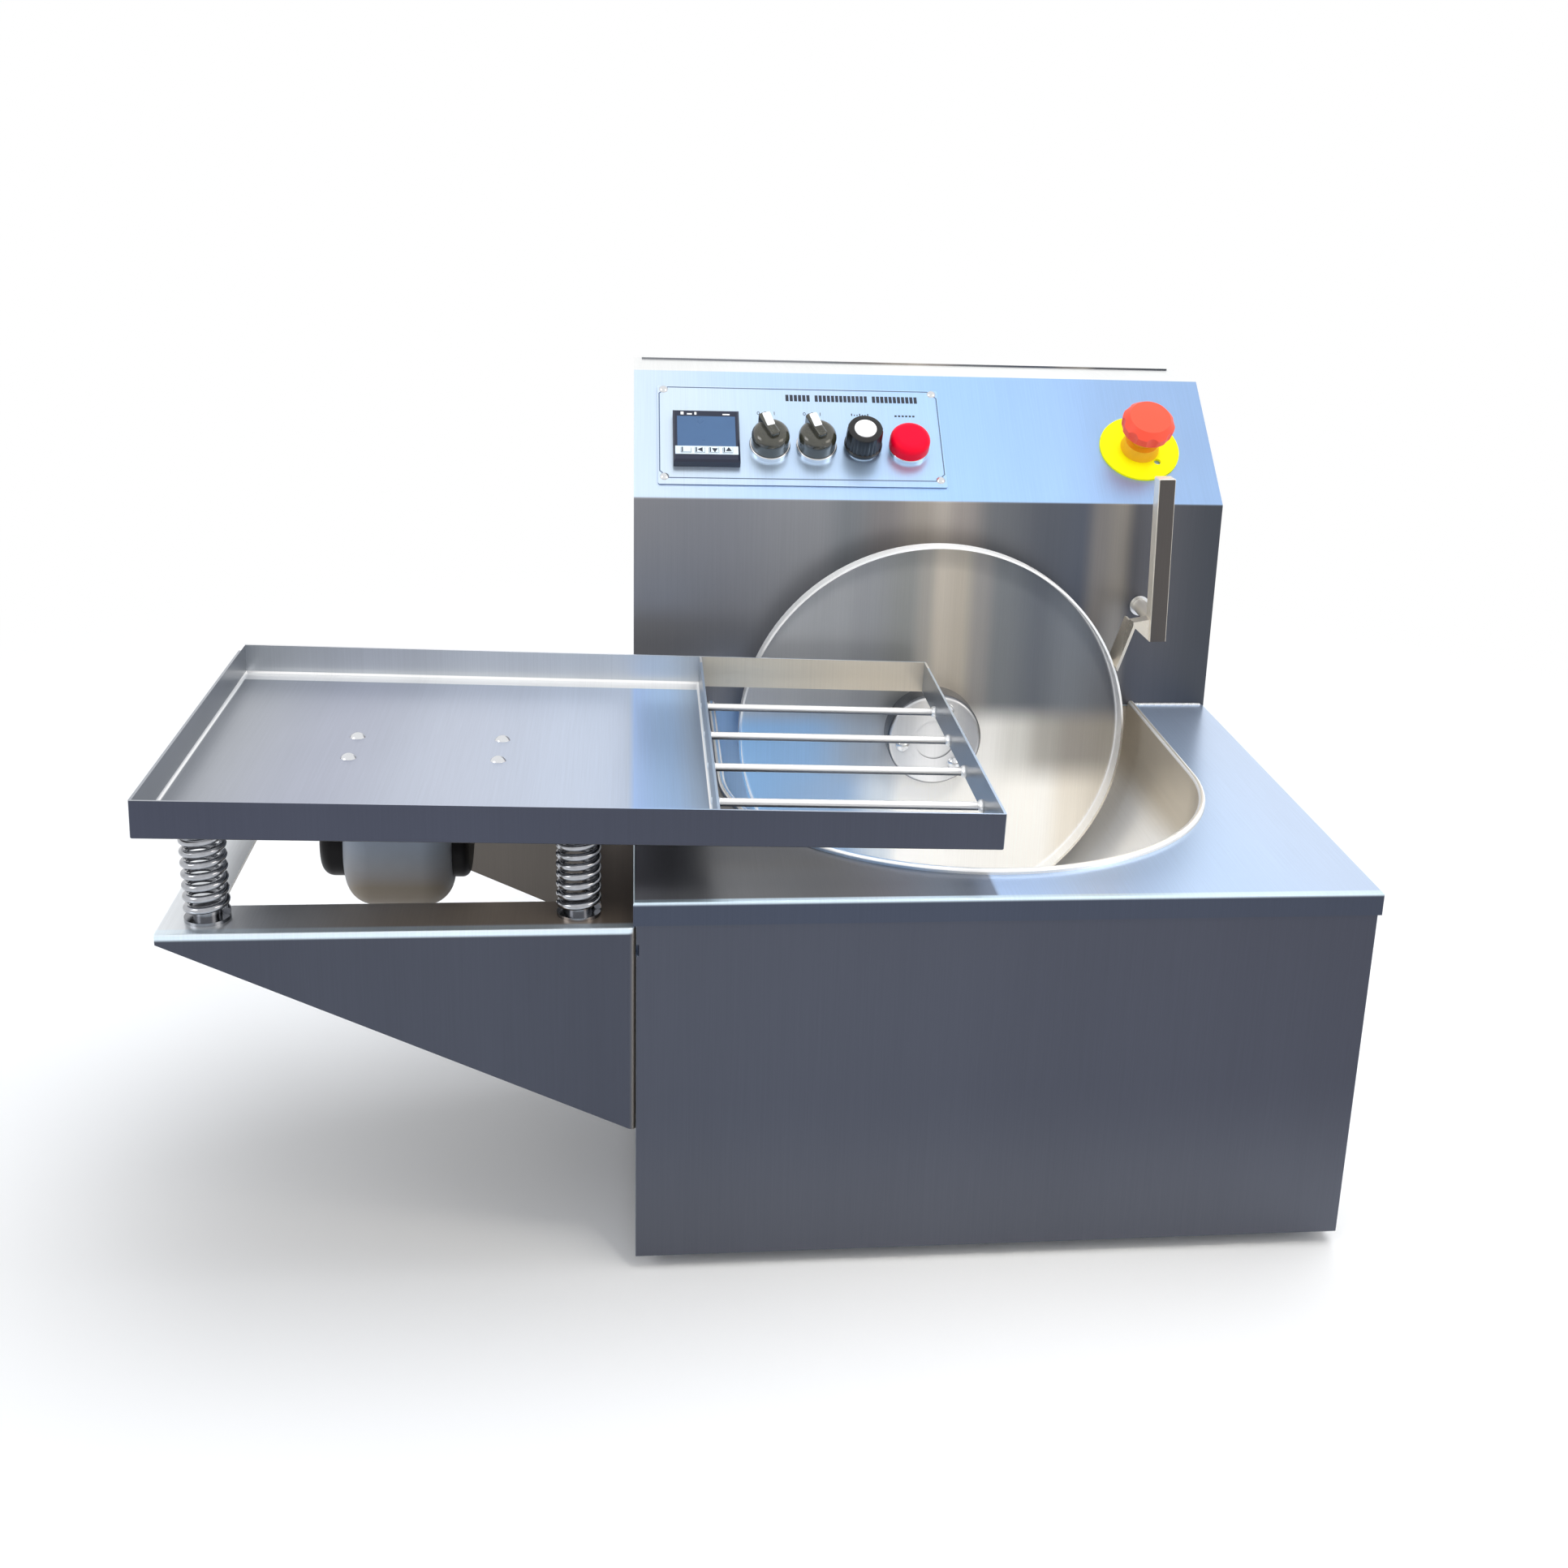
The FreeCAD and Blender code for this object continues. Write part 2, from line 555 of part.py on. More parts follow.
def power_supply():
    """Switched supply for the controls, on the base plate behind the bowl."""
    y1 = REAR_FACE_Y - SUPPLY_BEHIND
    y0 = y1 - SUPPLY_WIDTH
    case = box(SUPPLY_X, SUPPLY_X + SUPPLY_LENGTH, y0, y1, SHEET, SHEET + SUPPLY_HEIGHT)
    case = fillet_where(case, SHEET, lambda m, d: near(m.z, SHEET + SUPPLY_HEIGHT))
    terminals = box(SUPPLY_X, SUPPLY_X + SUPPLY_STEP, y0, y1, SHEET + SUPPLY_HEIGHT / 2,
                    SHEET + SUPPLY_HEIGHT)
    return case.cut(terminals)


# ---------------------------------------------------------------- bowl and its heating
HEATER_SHEET = 2.0
INSULATION_SHEET = 9.0
PROBE_X = 130.0
PROBE_Z = 140.0
PROBE_RADIUS = 3.0
PROBE_LENGTH = 13.0         # into the bowl
PROBE_NUT = 14.0
PROBE_TAIL = 20.0


def bowl():
    """Bowl with rolled rim and the back plate that carries the wheel's shaft."""
    outer = hollow_form(BOWL_OUTER, BACK_PLATE_Y, DECK_HEIGHT)
    inner = hollow_form(BOWL_RADIUS, BACK_PLATE_Y + 1, DECK_HEIGHT + 1)
    shell = outer.cut(inner)
    rim = slab_u(BOWL_RADIUS + BOWL_RIM_WIDTH, PANEL_SETBACK, DECK_HEIGHT,
                 DECK_HEIGHT + BOWL_RIM_HEIGHT)
    rim = rim.cut(slab_u(BOWL_RADIUS, PANEL_SETBACK + 1, DECK_HEIGHT - 1,
                         DECK_HEIGHT + BOWL_RIM_HEIGHT + 1))
    top = DECK_HEIGHT + BOWL_RIM_HEIGHT
    rim = fillet_where(rim, BOWL_RIM_WIDTH * 0.42,
                       lambda m, d: near(m.z, top) and m.y < PANEL_SETBACK - 1)
    back = rod(V(AXIS_X, BACK_PLATE_Y, AXIS_Z), Y_DIR, BOWL_OUTER, BOWL_WALL)
    back = back.cut(box(0, BODY_WIDTH, BACK_PLATE_Y - 1, BACK_PLATE_Y + 3, AXIS_Z, HOOD_HEIGHT))
    upright = box(AXIS_X - BOWL_OUTER, AXIS_X + BOWL_OUTER, BACK_PLATE_Y, BACK_PLATE_Y + BOWL_WALL,
                  AXIS_Z, DECK_UNDER - SLIP)
    tongue = rod(V(AXIS_X, BACK_PLATE_Y, AXIS_Z), Y_DIR, TONGUE_RADIUS, BOWL_WALL)
    whole = fuse_all([shell, rim, back, upright, tongue])
    shaft_hole = rod(V(AXIS_X, BACK_PLATE_Y - 1, AXIS_Z), Y_DIR, HOUSING_BOSS_RADIUS, BOWL_WALL + 2)
    probe_hole = rod(V(PROBE_X, BACK_PLATE_Y - 1, PROBE_Z), Y_DIR, PROBE_RADIUS, BOWL_WALL + 2)
    return cut_all(whole, [shaft_hole, probe_hole])


def drum_wrap(inner, outer, half_angle):
    """Layer wrapped round the underside of the bowl's drum."""
    y0 = BOWL_FRONT_Y + 8
    length = PANEL_SETBACK - 6 - y0
    layer = Part.makeCylinder(outer, length, V(0, 0, 0), Z_DIR, 2 * half_angle)
    layer = layer.cut(Part.makeCylinder(inner, length, V(0, 0, 0), Z_DIR, 360))
    layer.rotate(V(0, 0, 0), Z_DIR, -90 - half_angle)
    layer.rotate(V(0, 0, 0), X_DIR, 90)
    layer.translate(V(AXIS_X, y0 + length, AXIS_Z))
    return layer


def heater_mat():
    return drum_wrap(BOWL_OUTER, BOWL_OUTER + HEATER_SHEET, 70)


def bowl_insulation():
    return drum_wrap(BOWL_OUTER + HEATER_SHEET, BOWL_OUTER + HEATER_SHEET + INSULATION_SHEET, 74)


def temperature_probe():
    """Sensor sheath through the bowl's back plate, with its hex body behind."""
    end = V(PROBE_X, BACK_PLATE_Y - PROBE_LENGTH, PROBE_Z)
    behind = V(PROBE_X, BACK_PLATE_Y + BOWL_WALL, PROBE_Z)
    sheath = rod(end, Y_DIR, PROBE_RADIUS, PROBE_LENGTH + BOWL_WALL)
    tip = Part.makeSphere(PROBE_RADIUS, end)
    nut = hexagon(behind, Y_DIR, PROBE_NUT, PROBE_NUT / 2)
    neck = rod(behind, Y_DIR, PROBE_RADIUS * 1.5, PROBE_TAIL)
    return fuse_all([sheath, tip, nut, neck])


# ---------------------------------------------------------------- wheel and drive
SEAL_RADIUS = 14.0
SEAL_LENGTH = 7.0
GEARBOX_FRONT_Y = BACK_PLATE_Y + BOWL_WALL + HOUSING_REAR
GEARBOX_DEPTH = 56.0
GEARBOX_HALF = 40.0
WORM_OFFSET = 30.0
MOTOR_RADIUS = 43.0
MOTOR_LENGTH = 128.0


def wheel():
    """Shallow pan: flat disc with a forward rim, spun round its axis with a soft fold."""
    y_back = WHEEL_BACK_Y
    y_face = WHEEL_FACE_Y
    y_front = WHEEL_BACK_Y - WHEEL_RIM
    big = 4.0
    small = big - WHEEL_SHEET

    def at(r, y):
        return V(AXIS_X + r, y, AXIS_Z)

    diag = math.sqrt(0.5)
    outer_mid = at(WHEEL_RADIUS - big + big * diag, y_back - big + big * diag)
    inner_mid = at(WHEEL_RADIUS - big + small * diag, y_back - big + small * diag)
    rim_in = WHEEL_RADIUS - WHEEL_SHEET
    edges = [
        Part.makeLine(at(SHAFT_RADIUS, y_back), at(WHEEL_RADIUS - big, y_back)),
        Part.Arc(at(WHEEL_RADIUS - big, y_back), outer_mid, at(WHEEL_RADIUS, y_back - big)).toShape(),
        Part.makeLine(at(WHEEL_RADIUS, y_back - big), at(WHEEL_RADIUS, y_front)),
        Part.makeLine(at(WHEEL_RADIUS, y_front), at(rim_in, y_front)),
        Part.makeLine(at(rim_in, y_front), at(rim_in, y_back - big)),
        Part.Arc(at(rim_in, y_back - big), inner_mid, at(WHEEL_RADIUS - big, y_face)).toShape(),
        Part.makeLine(at(WHEEL_RADIUS - big, y_face), at(SHAFT_RADIUS, y_face)),
        Part.makeLine(at(SHAFT_RADIUS, y_face), at(SHAFT_RADIUS, y_back)),
    ]
    face = Part.Face(Part.Wire(edges))
    disc = face.revolve(V(AXIS_X, 0, AXIS_Z), Y_DIR, 360)
    holes = [rod(p, Y_DIR, HUB_SCREW_RADIUS, 40) for p in hub_screw_places(WHEEL_FACE_Y - 20)]
    return cut_all(disc, holes)


HUB_SCREW_RADIUS = 3.0
HUB_CROWN = 5.0             # hub material in front of the shaft's end


def hub_screw_places(y):
    for index in range(HUB_SCREW_COUNT):
        angle = math.radians(HUB_SCREW_TURN + index * 360 / HUB_SCREW_COUNT)
        out = V(math.cos(angle), 0, math.sin(angle)) * HUB_SCREW_CIRCLE
        yield V(AXIS_X, y, AXIS_Z) + out


def wheel_hub():
    """Turned hub with a rolled front edge and a shallow dish between its screws."""
    y0 = WHEEL_FACE_Y - HUB_LENGTH
    hub = rod(V(AXIS_X, y0, AXIS_Z), Y_DIR, HUB_RADIUS, HUB_LENGTH)
    hub = fillet_where(hub, 3.0, lambda m, d: near(m.y, y0))
    dish = rod(V(AXIS_X, y0, AXIS_Z), Y_DIR, HUB_SCREW_CIRCLE - 9, 1.5)
    bore = rod(V(AXIS_X, y0 + HUB_CROWN, AXIS_Z), Y_DIR, SHAFT_RADIUS, HUB_LENGTH)
    holes = [rod(p, Y_DIR, HUB_SCREW_RADIUS, 40) for p in hub_screw_places(y0 - 1)]
    return cut_all(hub, [dish, bore] + holes)


def hub_screws():
    """Domed screws that clamp the wheel between the hub and their nuts."""
    screws = []
    for place in hub_screw_places(WHEEL_FACE_Y - HUB_LENGTH):
        head = dome_head(place, V(0, -1, 0), 5.2, 4.0)
        shank = rod(place, Y_DIR, HUB_SCREW_RADIUS, HUB_LENGTH + WHEEL_SHEET + 1)
        nut = hexagon(place + Y_DIR * (HUB_LENGTH + WHEEL_SHEET), Y_DIR, 10.0, 4.0)
        screws.append(fuse_all([head, shank, nut]))
    return screws


def wheel_shaft():
    y0 = WHEEL_FACE_Y - HUB_LENGTH + HUB_CROWN
    y1 = GEARBOX_FRONT_Y + GEARBOX_DEPTH + 6
    shaft = rod(V(AXIS_X, y0, AXIS_Z), Y_DIR, SHAFT_RADIUS, y1 - y0)
    return shaft.makeChamfer(1.0, [e for e in shaft.Edges if near(e.valueAt(0).y, y1)])


def seal_housing():
    """Turned housing bolted behind the bowl's back plate, its boss through to the front."""
    y0 = PANEL_SETBACK - HOUSING_FRONT
    y1 = BACK_PLATE_Y + BOWL_WALL
    boss = rod(V(AXIS_X, y0, AXIS_Z), Y_DIR, HOUSING_BOSS_RADIUS, y1 - y0)
    boss = fillet_where(boss, 1.5, lambda m, d: near(m.y, y0))
    flange = rod(V(AXIS_X, y1, AXIS_Z), Y_DIR, HOUSING_FLANGE_RADIUS, HOUSING_REAR)
    seat = rod(V(AXIS_X, y0, AXIS_Z), Y_DIR, SEAL_RADIUS, SEAL_LENGTH)
    through = rod(V(AXIS_X, y0, AXIS_Z), Y_DIR, SHAFT_RADIUS + RUN_FIT, 60)
    return cut_all(fuse_all([boss, flange]), [seat, through])


def shaft_seal():
    y0 = PANEL_SETBACK - HOUSING_FRONT
    return ring(V(AXIS_X, y0, AXIS_Z), Y_DIR, SEAL_RADIUS, SHAFT_RADIUS + RUN_FIT, SEAL_LENGTH)


def gearbox():
    """Worm gearbox on the seal housing, with the motor's flange face to the right."""
    y0 = GEARBOX_FRONT_Y
    y1 = y0 + GEARBOX_DEPTH
    case = box(AXIS_X - GEARBOX_HALF, AXIS_X + GEARBOX_HALF, y0, y1, AXIS_Z - GEARBOX_HALF,
               AXIS_Z + WORM_OFFSET + GEARBOX_HALF)
    case = fillet_where(case, 8.0, lambda m, d: near(abs(d.y), 1))
    boss = rod(V(AXIS_X, y1 - 1, AXIS_Z), Y_DIR, 24.0, 5.0)
    ribs = []
    for z in (AXIS_Z - 20, AXIS_Z, AXIS_Z + 20, AXIS_Z + 40):
        ribs.append(box(AXIS_X - GEARBOX_HALF - 4, AXIS_X - GEARBOX_HALF + 1, y0 + 6, y1 - 6, z, z + 4))
    bore = rod(V(AXIS_X, y0 - 1, AXIS_Z), Y_DIR, SHAFT_RADIUS + RUN_FIT, GEARBOX_DEPTH + 12)
    return fuse_all([case, boss] + ribs).cut(bore)


def drive_motor():
    """Small finned motor on the gearbox's right side, with its terminal box on top."""
    x0 = AXIS_X + GEARBOX_HALF
    y = GEARBOX_FRONT_Y + GEARBOX_DEPTH / 2
    z = AXIS_Z + WORM_OFFSET
    flange = rod(V(x0, y, z), X_DIR, MOTOR_RADIUS, 9)
    body = rod(V(x0, y, z), X_DIR, MOTOR_RADIUS - 5, MOTOR_LENGTH)
    pieces = [flange, body, rod(V(x0 + MOTOR_LENGTH - 26, y, z), X_DIR, MOTOR_RADIUS, 26)]
    for index in range(7):
        pieces.append(rod(V(x0 + 18 + 11 * index, y, z), X_DIR, MOTOR_RADIUS, 3.5))
    pieces.append(box(x0 + 30, x0 + 82, y - 22, y + 22, z + MOTOR_RADIUS - 8, z + MOTOR_RADIUS + 20))
    return fuse_all(pieces)


# ---------------------------------------------------------------- controls on the slope
PLATE_SCREW_RADIUS = 1.5
PLATE_SCREW_INSET = 4.6
PLATE_SCREW_TOP = 3.5


def plate_screw_places():
    for x in (PLATE_LEFT + PLATE_SCREW_INSET, PLATE_LEFT + PLATE_WIDTH - PLATE_SCREW_INSET):
        for up in (PLATE_LOW + 1.5 * PLATE_SCREW_INSET, PLATE_LOW + PLATE_HEIGHT - PLATE_SCREW_TOP):
            yield x, up


def control_plate():
    plate = box(PLATE_LEFT, PLATE_LEFT + PLATE_WIDTH, PLATE_LOW, PLATE_LOW + PLATE_HEIGHT, 0, PLATE_SHEET)
    plate = fillet_where(plate, PLATE_CORNER, lambda m, d: near(abs(d.z), 1))
    return cut_all(on_slope(plate), panel_cutouts(-0.5, PLATE_SHEET + 0.5))


def control_plate_screws():
    screws = []
    for x, up in plate_screw_places():
        head = dome_head(V(0, 0, PLATE_SHEET), Z_DIR, 3.4, 2.0)
        shank = rod(V(0, 0, PLATE_SHEET - 6), Z_DIR, PLATE_SCREW_RADIUS, 6)
        screws.append(on_slope(head.fuse(shank), x, up))
    return screws


KEY_ROW = -14.5             # key centres below the controller's middle
KEY_RISE = 1.0              # keys stand proud of the controller's face
KEY_WELL = 3.0
WINDOW_WIDTH = 42.0
WINDOW_LOW = -10.5
WINDOW_HIGH = 17.5
WINDOW_DEPTH = 1.2


def key_x(index):
    return (index - (KEY_COUNT - 1) / 2) * KEY_PITCH


def controller():
    """Panel-mount temperature controller: bezel in front, long body behind the slope."""
    half = CONTROLLER_SIZE / 2
    face = PLATE_SHEET + CONTROLLER_FACE
    bezel = box(-half, half, -half, half, PLATE_SHEET, face)
    bezel = bezel.makeChamfer(1.5, [e for e in bezel.Edges if near(e.CenterOfMass.z, face)])
    slim = CONTROLLER_BODY / 2
    body = box(-slim, slim, -slim, slim, PLATE_SHEET - CONTROLLER_DEPTH, PLATE_SHEET)
    window = box(-WINDOW_WIDTH / 2, WINDOW_WIDTH / 2, WINDOW_LOW, WINDOW_HIGH, face - WINDOW_DEPTH, face)
    wells = []
    for index in range(KEY_COUNT):
        x = key_x(index)
        reach_x = KEY_WIDTH / 2 + 0.15
        reach_y = KEY_HEIGHT / 2 + 0.15
        wells.append(box(x - reach_x, x + reach_x, KEY_ROW - reach_y, KEY_ROW + reach_y,
                         face - KEY_WELL, face + 1))
    solid = cut_all(fuse_all([bezel, body]), [window] + wells)
    return on_slope(solid, CONTROLLER_X, CONTROL_ROW)


def display_window():
    face = PLATE_SHEET + CONTROLLER_FACE
    window = box(-WINDOW_WIDTH / 2, WINDOW_WIDTH / 2, WINDOW_LOW, WINDOW_HIGH, face - WINDOW_DEPTH, face)
    return on_slope(window, CONTROLLER_X, CONTROL_ROW)


def controller_key(index):
    face = PLATE_SHEET + CONTROLLER_FACE
    x = key_x(index)
    key = box(x - KEY_WIDTH / 2, x + KEY_WIDTH / 2, KEY_ROW - KEY_HEIGHT / 2, KEY_ROW + KEY_HEIGHT / 2,
              face - KEY_WELL + KEY_TRAVEL + 0.2, face + KEY_RISE)
    key = fillet_where(key, 0.5, lambda m, d: near(m.z, face + KEY_RISE))
    return on_slope(key, CONTROLLER_X, CONTROL_ROW)


LAMP_INDEX = 3
SPEED_INDEX = 2


def panel_collars():
    """Threaded collars of the two selectors, the speed control and the power lamp."""
    collars = []
    for index in range(4):
        height = COLLAR_HEIGHT if index != SPEED_INDEX else COLLAR_HEIGHT - 1
        radius = COLLAR_RADIUS if index != SPEED_INDEX else COLLAR_RADIUS - 3
        flange = rod(V(0, 0, PLATE_SHEET), Z_DIR, radius, height)
        flange = fillet_where(flange, 1.0, lambda m, d: near(m.z, PLATE_SHEET + height))
        barrel = rod(V(0, 0, -12), Z_DIR, BARREL_RADIUS, 12 + PLATE_SHEET)
        collar = fuse_all([flange, barrel])
        bore = SPINDLE_RADIUS + RUN_FIT if index != LAMP_INDEX else BARREL_RADIUS - 2
        collar = collar.cut(rod(V(0, 0, -13), Z_DIR, bore, 30))
        collars.append(on_slope(collar, control_x(index), KNOB_ROW))
    return collars


def spindle(z_top):
    return rod(V(0, 0, -16), Z_DIR, SPINDLE_RADIUS, 16 + z_top)


POINTER_TURN = 26.0         # the selectors' pointer, left of straight up
GRIP_WIDTH = 7.2


def selector_knob(index):
    """Domed knob with a raised grip bar from its middle out to the setting it points at."""
    z0 = PLATE_SHEET + COLLAR_HEIGHT + SLIP
    dome = rod(V(0, 0, z0), Z_DIR, KNOB_RADIUS, KNOB_HEIGHT)
    dome = fillet_where(dome, KNOB_HEIGHT * 0.45, lambda m, d: near(m.z, z0 + KNOB_HEIGHT))
    half = GRIP_WIDTH / 2
    top = z0 + GRIP_HEIGHT
    grip = box(-half, half, -KNOB_RADIUS * 0.55, KNOB_RADIUS + 0.6, z0 + 4, top)
    grip = fillet_where(grip, 2.0, lambda m, d: near(m.z, top) or near(abs(d.z), 1))
    knob = fuse_all([dome, grip, spindle(z0 + 2)])
    knob.rotate(V(0, 0, 0), Z_DIR, POINTER_TURN)
    return on_slope(knob, control_x(index), KNOB_ROW)


def speed_knob():
    """Fluted, tapered knob with a flat recess on top for its cap."""
    z0 = PLATE_SHEET + COLLAR_HEIGHT - 1 + SLIP
    height = 19.0
    skirt = rod(V(0, 0, z0), Z_DIR, KNOB_RADIUS, 3)
    cone = Part.makeCone(KNOB_RADIUS - 1.5, KNOB_RADIUS - 3, height - 3, V(0, 0, z0 + 3), Z_DIR)
    cone = fillet_where(cone, 1.2, lambda m, d: near(m.z, z0 + height))
    flutes = []
    for turn in range(12):
        angle = math.radians(30 * turn)
        centre = V((KNOB_RADIUS - 0.4) * math.cos(angle), (KNOB_RADIUS - 0.4) * math.sin(angle), z0 + 3)
        flutes.append(rod(centre, Z_DIR, 1.6, height))
    cone = cut_all(cone, flutes)
    recess = rod(V(0, 0, z0 + height - 0.5), Z_DIR, 8.3, 1)
    knob = fuse_all([skirt, cone, spindle(z0 + 2)]).cut(recess)
    return on_slope(knob, control_x(SPEED_INDEX), KNOB_ROW)


def power_lamp_lens():
    """Domed red lens seated in the lamp's collar."""
    z0 = PLATE_SHEET + COLLAR_HEIGHT
    dome = rod(V(0, 0, z0), Z_DIR, COLLAR_RADIUS - 0.2, LAMP_HEIGHT)
    dome = fillet_where(dome, LAMP_HEIGHT * 0.5, lambda m, d: near(m.z, z0 + LAMP_HEIGHT))
    neck = rod(V(0, 0, z0 - 8), Z_DIR, BARREL_RADIUS - 2, 9)
    return on_slope(fuse_all([dome, neck]), control_x(LAMP_INDEX), KNOB_ROW)


ESTOP_COLLAR_RADIUS = 14.5
ESTOP_COLLAR_TOP = 10.5
ESTOP_STEM_RADIUS = 8.0
ESTOP_SPIGOT_RADIUS = 6.0
ESTOP_SPIGOT_LENGTH = 10.0
ESTOP_HEAD_LOW = 16.5
ESTOP_HEAD_TOP = 38.0
ESTOP_DISC = 2.0
ESTOP_FLUTE = 9.0           # radius of the finger flutes
ESTOP_FLUTE_DEPTH = 1.5
ESTOP_HOLE_RADIUS = 2.6     # locating hole in the disc
ESTOP_HOLE_TURN = -49.0


BARREL_END = 12.0           # how far the switches' barrels reach behind the slope
BLOCK_HALF = 15.0
BLOCK_REACH = 18.0
BLOCK_END = 50.0
POT_LENGTH = 18.0


def switch_bodies():
    """Contact blocks and the speed potentiometer behind the slope."""
    blocks = []
    for index in range(2):
        block = box(-BLOCK_HALF, BLOCK_HALF, -BLOCK_REACH, BLOCK_REACH, -BLOCK_END, -BARREL_END)
        block = block.cut(rod(V(0, 0, -20), Z_DIR, SPINDLE_RADIUS + RUN_FIT, 9))
        blocks.append(on_slope(block, control_x(index), KNOB_ROW))
    pot = rod(V(0, 0, -BARREL_END - POT_LENGTH), Z_DIR, BLOCK_HALF - 3, POT_LENGTH)
    pot = pot.cut(rod(V(0, 0, -20), Z_DIR, SPINDLE_RADIUS + RUN_FIT, 9))
    blocks.append(on_slope(pot, control_x(SPEED_INDEX), KNOB_ROW))
    lamp = box(-BLOCK_HALF + 3, BLOCK_HALF - 3, -BLOCK_HALF + 3, BLOCK_HALF - 3, -BLOCK_END + 4, -BARREL_END)
    blocks.append(on_slope(lamp, control_x(LAMP_INDEX), KNOB_ROW))
    stop = box(-BLOCK_HALF, BLOCK_HALF, -BLOCK_REACH, BLOCK_REACH, -BLOCK_END - BLOCK_REACH, -BARREL_END)
    stop = stop.cut(rod(V(0, 0, -2 * BARREL_END - 2), Z_DIR, BARREL_RADIUS, BARREL_END + 3))
    blocks.append(on_slope(stop, ESTOP_X, CONTROL_ROW))
    return blocks


def estop_disc():
    disc = rod(V(0, 0, 0), Z_DIR, ESTOP_DISC_RADIUS, ESTOP_DISC)
    disc = fillet_where(disc, 0.8, lambda m, d: near(m.z, ESTOP_DISC))
    disc = disc.cut(rod(V(0, 0, -1), Z_DIR, BARREL_RADIUS, 5))
    turn = math.radians(ESTOP_HOLE_TURN)
    reach = ESTOP_COLLAR_RADIUS + ESTOP_HOLE_RADIUS + 0.6
    hole = rod(V(reach * math.cos(turn), reach * math.sin(turn), -1), Z_DIR, ESTOP_HOLE_RADIUS, 5)
    return on_slope(disc.cut(hole), ESTOP_X, CONTROL_ROW)


def estop_collar():
    flange = Part.makeCone(ESTOP_COLLAR_RADIUS, ESTOP_COLLAR_RADIUS - 2, ESTOP_COLLAR_TOP - ESTOP_DISC,
                           V(0, 0, ESTOP_DISC), Z_DIR)
    barrel = rod(V(0, 0, -12), Z_DIR, BARREL_RADIUS, 12 + ESTOP_DISC)
    collar = fuse_all([flange, barrel])
    collar = collar.cut(rod(V(0, 0, -13), Z_DIR, ESTOP_STEM_RADIUS + RUN_FIT, 40))
    return on_slope(collar, ESTOP_X, CONTROL_ROW)


def estop_stem():
    stem = rod(V(0, 0, -18), Z_DIR, ESTOP_STEM_RADIUS, 18 + ESTOP_HEAD_LOW)
    spigot = rod(V(0, 0, ESTOP_HEAD_LOW), Z_DIR, ESTOP_SPIGOT_RADIUS, ESTOP_SPIGOT_LENGTH)
    return on_slope(fuse_all([stem, spigot]), ESTOP_X, CONTROL_ROW)


def estop_head():
    """Mushroom head with finger scallops, turned on the stem's spigot to release it."""
    r = ESTOP_HEAD_RADIUS
    z0 = ESTOP_HEAD_LOW
    z1 = ESTOP_HEAD_TOP
    profile = [(0, z0), (r - 8, z0), (r - 0.5, z0 + 8), (r, z1 - 7), (r - 4.5, z1 - 1.5), (0, z1)]
    head = turned(profile, V(0, 0, 0), Z_DIR, X_DIR)
    scallops = []
    for turn in range(8):
        angle = math.radians(45 * turn)
        away = r + ESTOP_FLUTE - ESTOP_FLUTE_DEPTH
        centre = V(away * math.cos(angle), away * math.sin(angle), z0 - 1)
        scallops.append(rod(centre, Z_DIR, ESTOP_FLUTE, z1 - z0 + 2))
    head = cut_all(head, scallops)
    socket = rod(V(0, 0, z0 - 1), Z_DIR, ESTOP_SPIGOT_RADIUS + RUN_FIT, 1 + ESTOP_SPIGOT_LENGTH + SLIP)
    return on_slope(head.cut(socket), ESTOP_X, CONTROL_ROW)


# ---------------------------------------------------------------- scraper
STUD_WASHER = 2.5


def leaned(shape):
    """Lean a piece of the handle about the scraper's pivot."""
    copy = shape.copy()
    copy.rotate(V(LEVER_X, 0, LEVER_Z), Y_DIR, -LEVER_LEAN)
    return copy


def scraper_stud():
    """Pivot stud through the hood's panel, with its washer in front and nut behind."""
    front = LEVER_BACK_Y - LEVER_DEPTH + 3
    pin = rod(V(LEVER_X, front, LEVER_Z), Y_DIR, STUD_RADIUS, PANEL_SETBACK + SHEET + 9 - front)
    washer = rod(V(LEVER_X, PANEL_SETBACK - STUD_WASHER, LEVER_Z), Y_DIR, SLEEVE_RADIUS + 2, STUD_WASHER)
    nut = hexagon(V(LEVER_X, PANEL_SETBACK + SHEET, LEVER_Z), Y_DIR, 10.0, 5.0)
    return fuse_all([pin, washer, nut])


def scraper_lever():
    """Upright handle bar with the pivot sleeve behind its lower end."""
    half = LEVER_WIDTH / 2
    y0 = LEVER_BACK_Y - LEVER_DEPTH
    bar = box(LEVER_X - half, LEVER_X + half, y0, LEVER_BACK_Y, LEVER_Z - LEVER_BELOW,
              LEVER_Z + LEVER_ABOVE)
    bar = fillet_where(bar, 1.0, lambda m, d: near(abs(d.z), 1) or near(m.z, LEVER_Z + LEVER_ABOVE))
    end = PANEL_SETBACK - STUD_WASHER - SLIP
    sleeve = rod(V(LEVER_X, LEVER_BACK_Y, LEVER_Z), Y_DIR, SLEEVE_RADIUS, end - LEVER_BACK_Y)
    bore = rod(V(LEVER_X, y0 + 3 - SLIP, LEVER_Z), Y_DIR, STUD_RADIUS + RUN_FIT, LEVER_STANDOFF + LEVER_DEPTH)
    return fuse_all([leaned(bar), sleeve]).cut(bore)


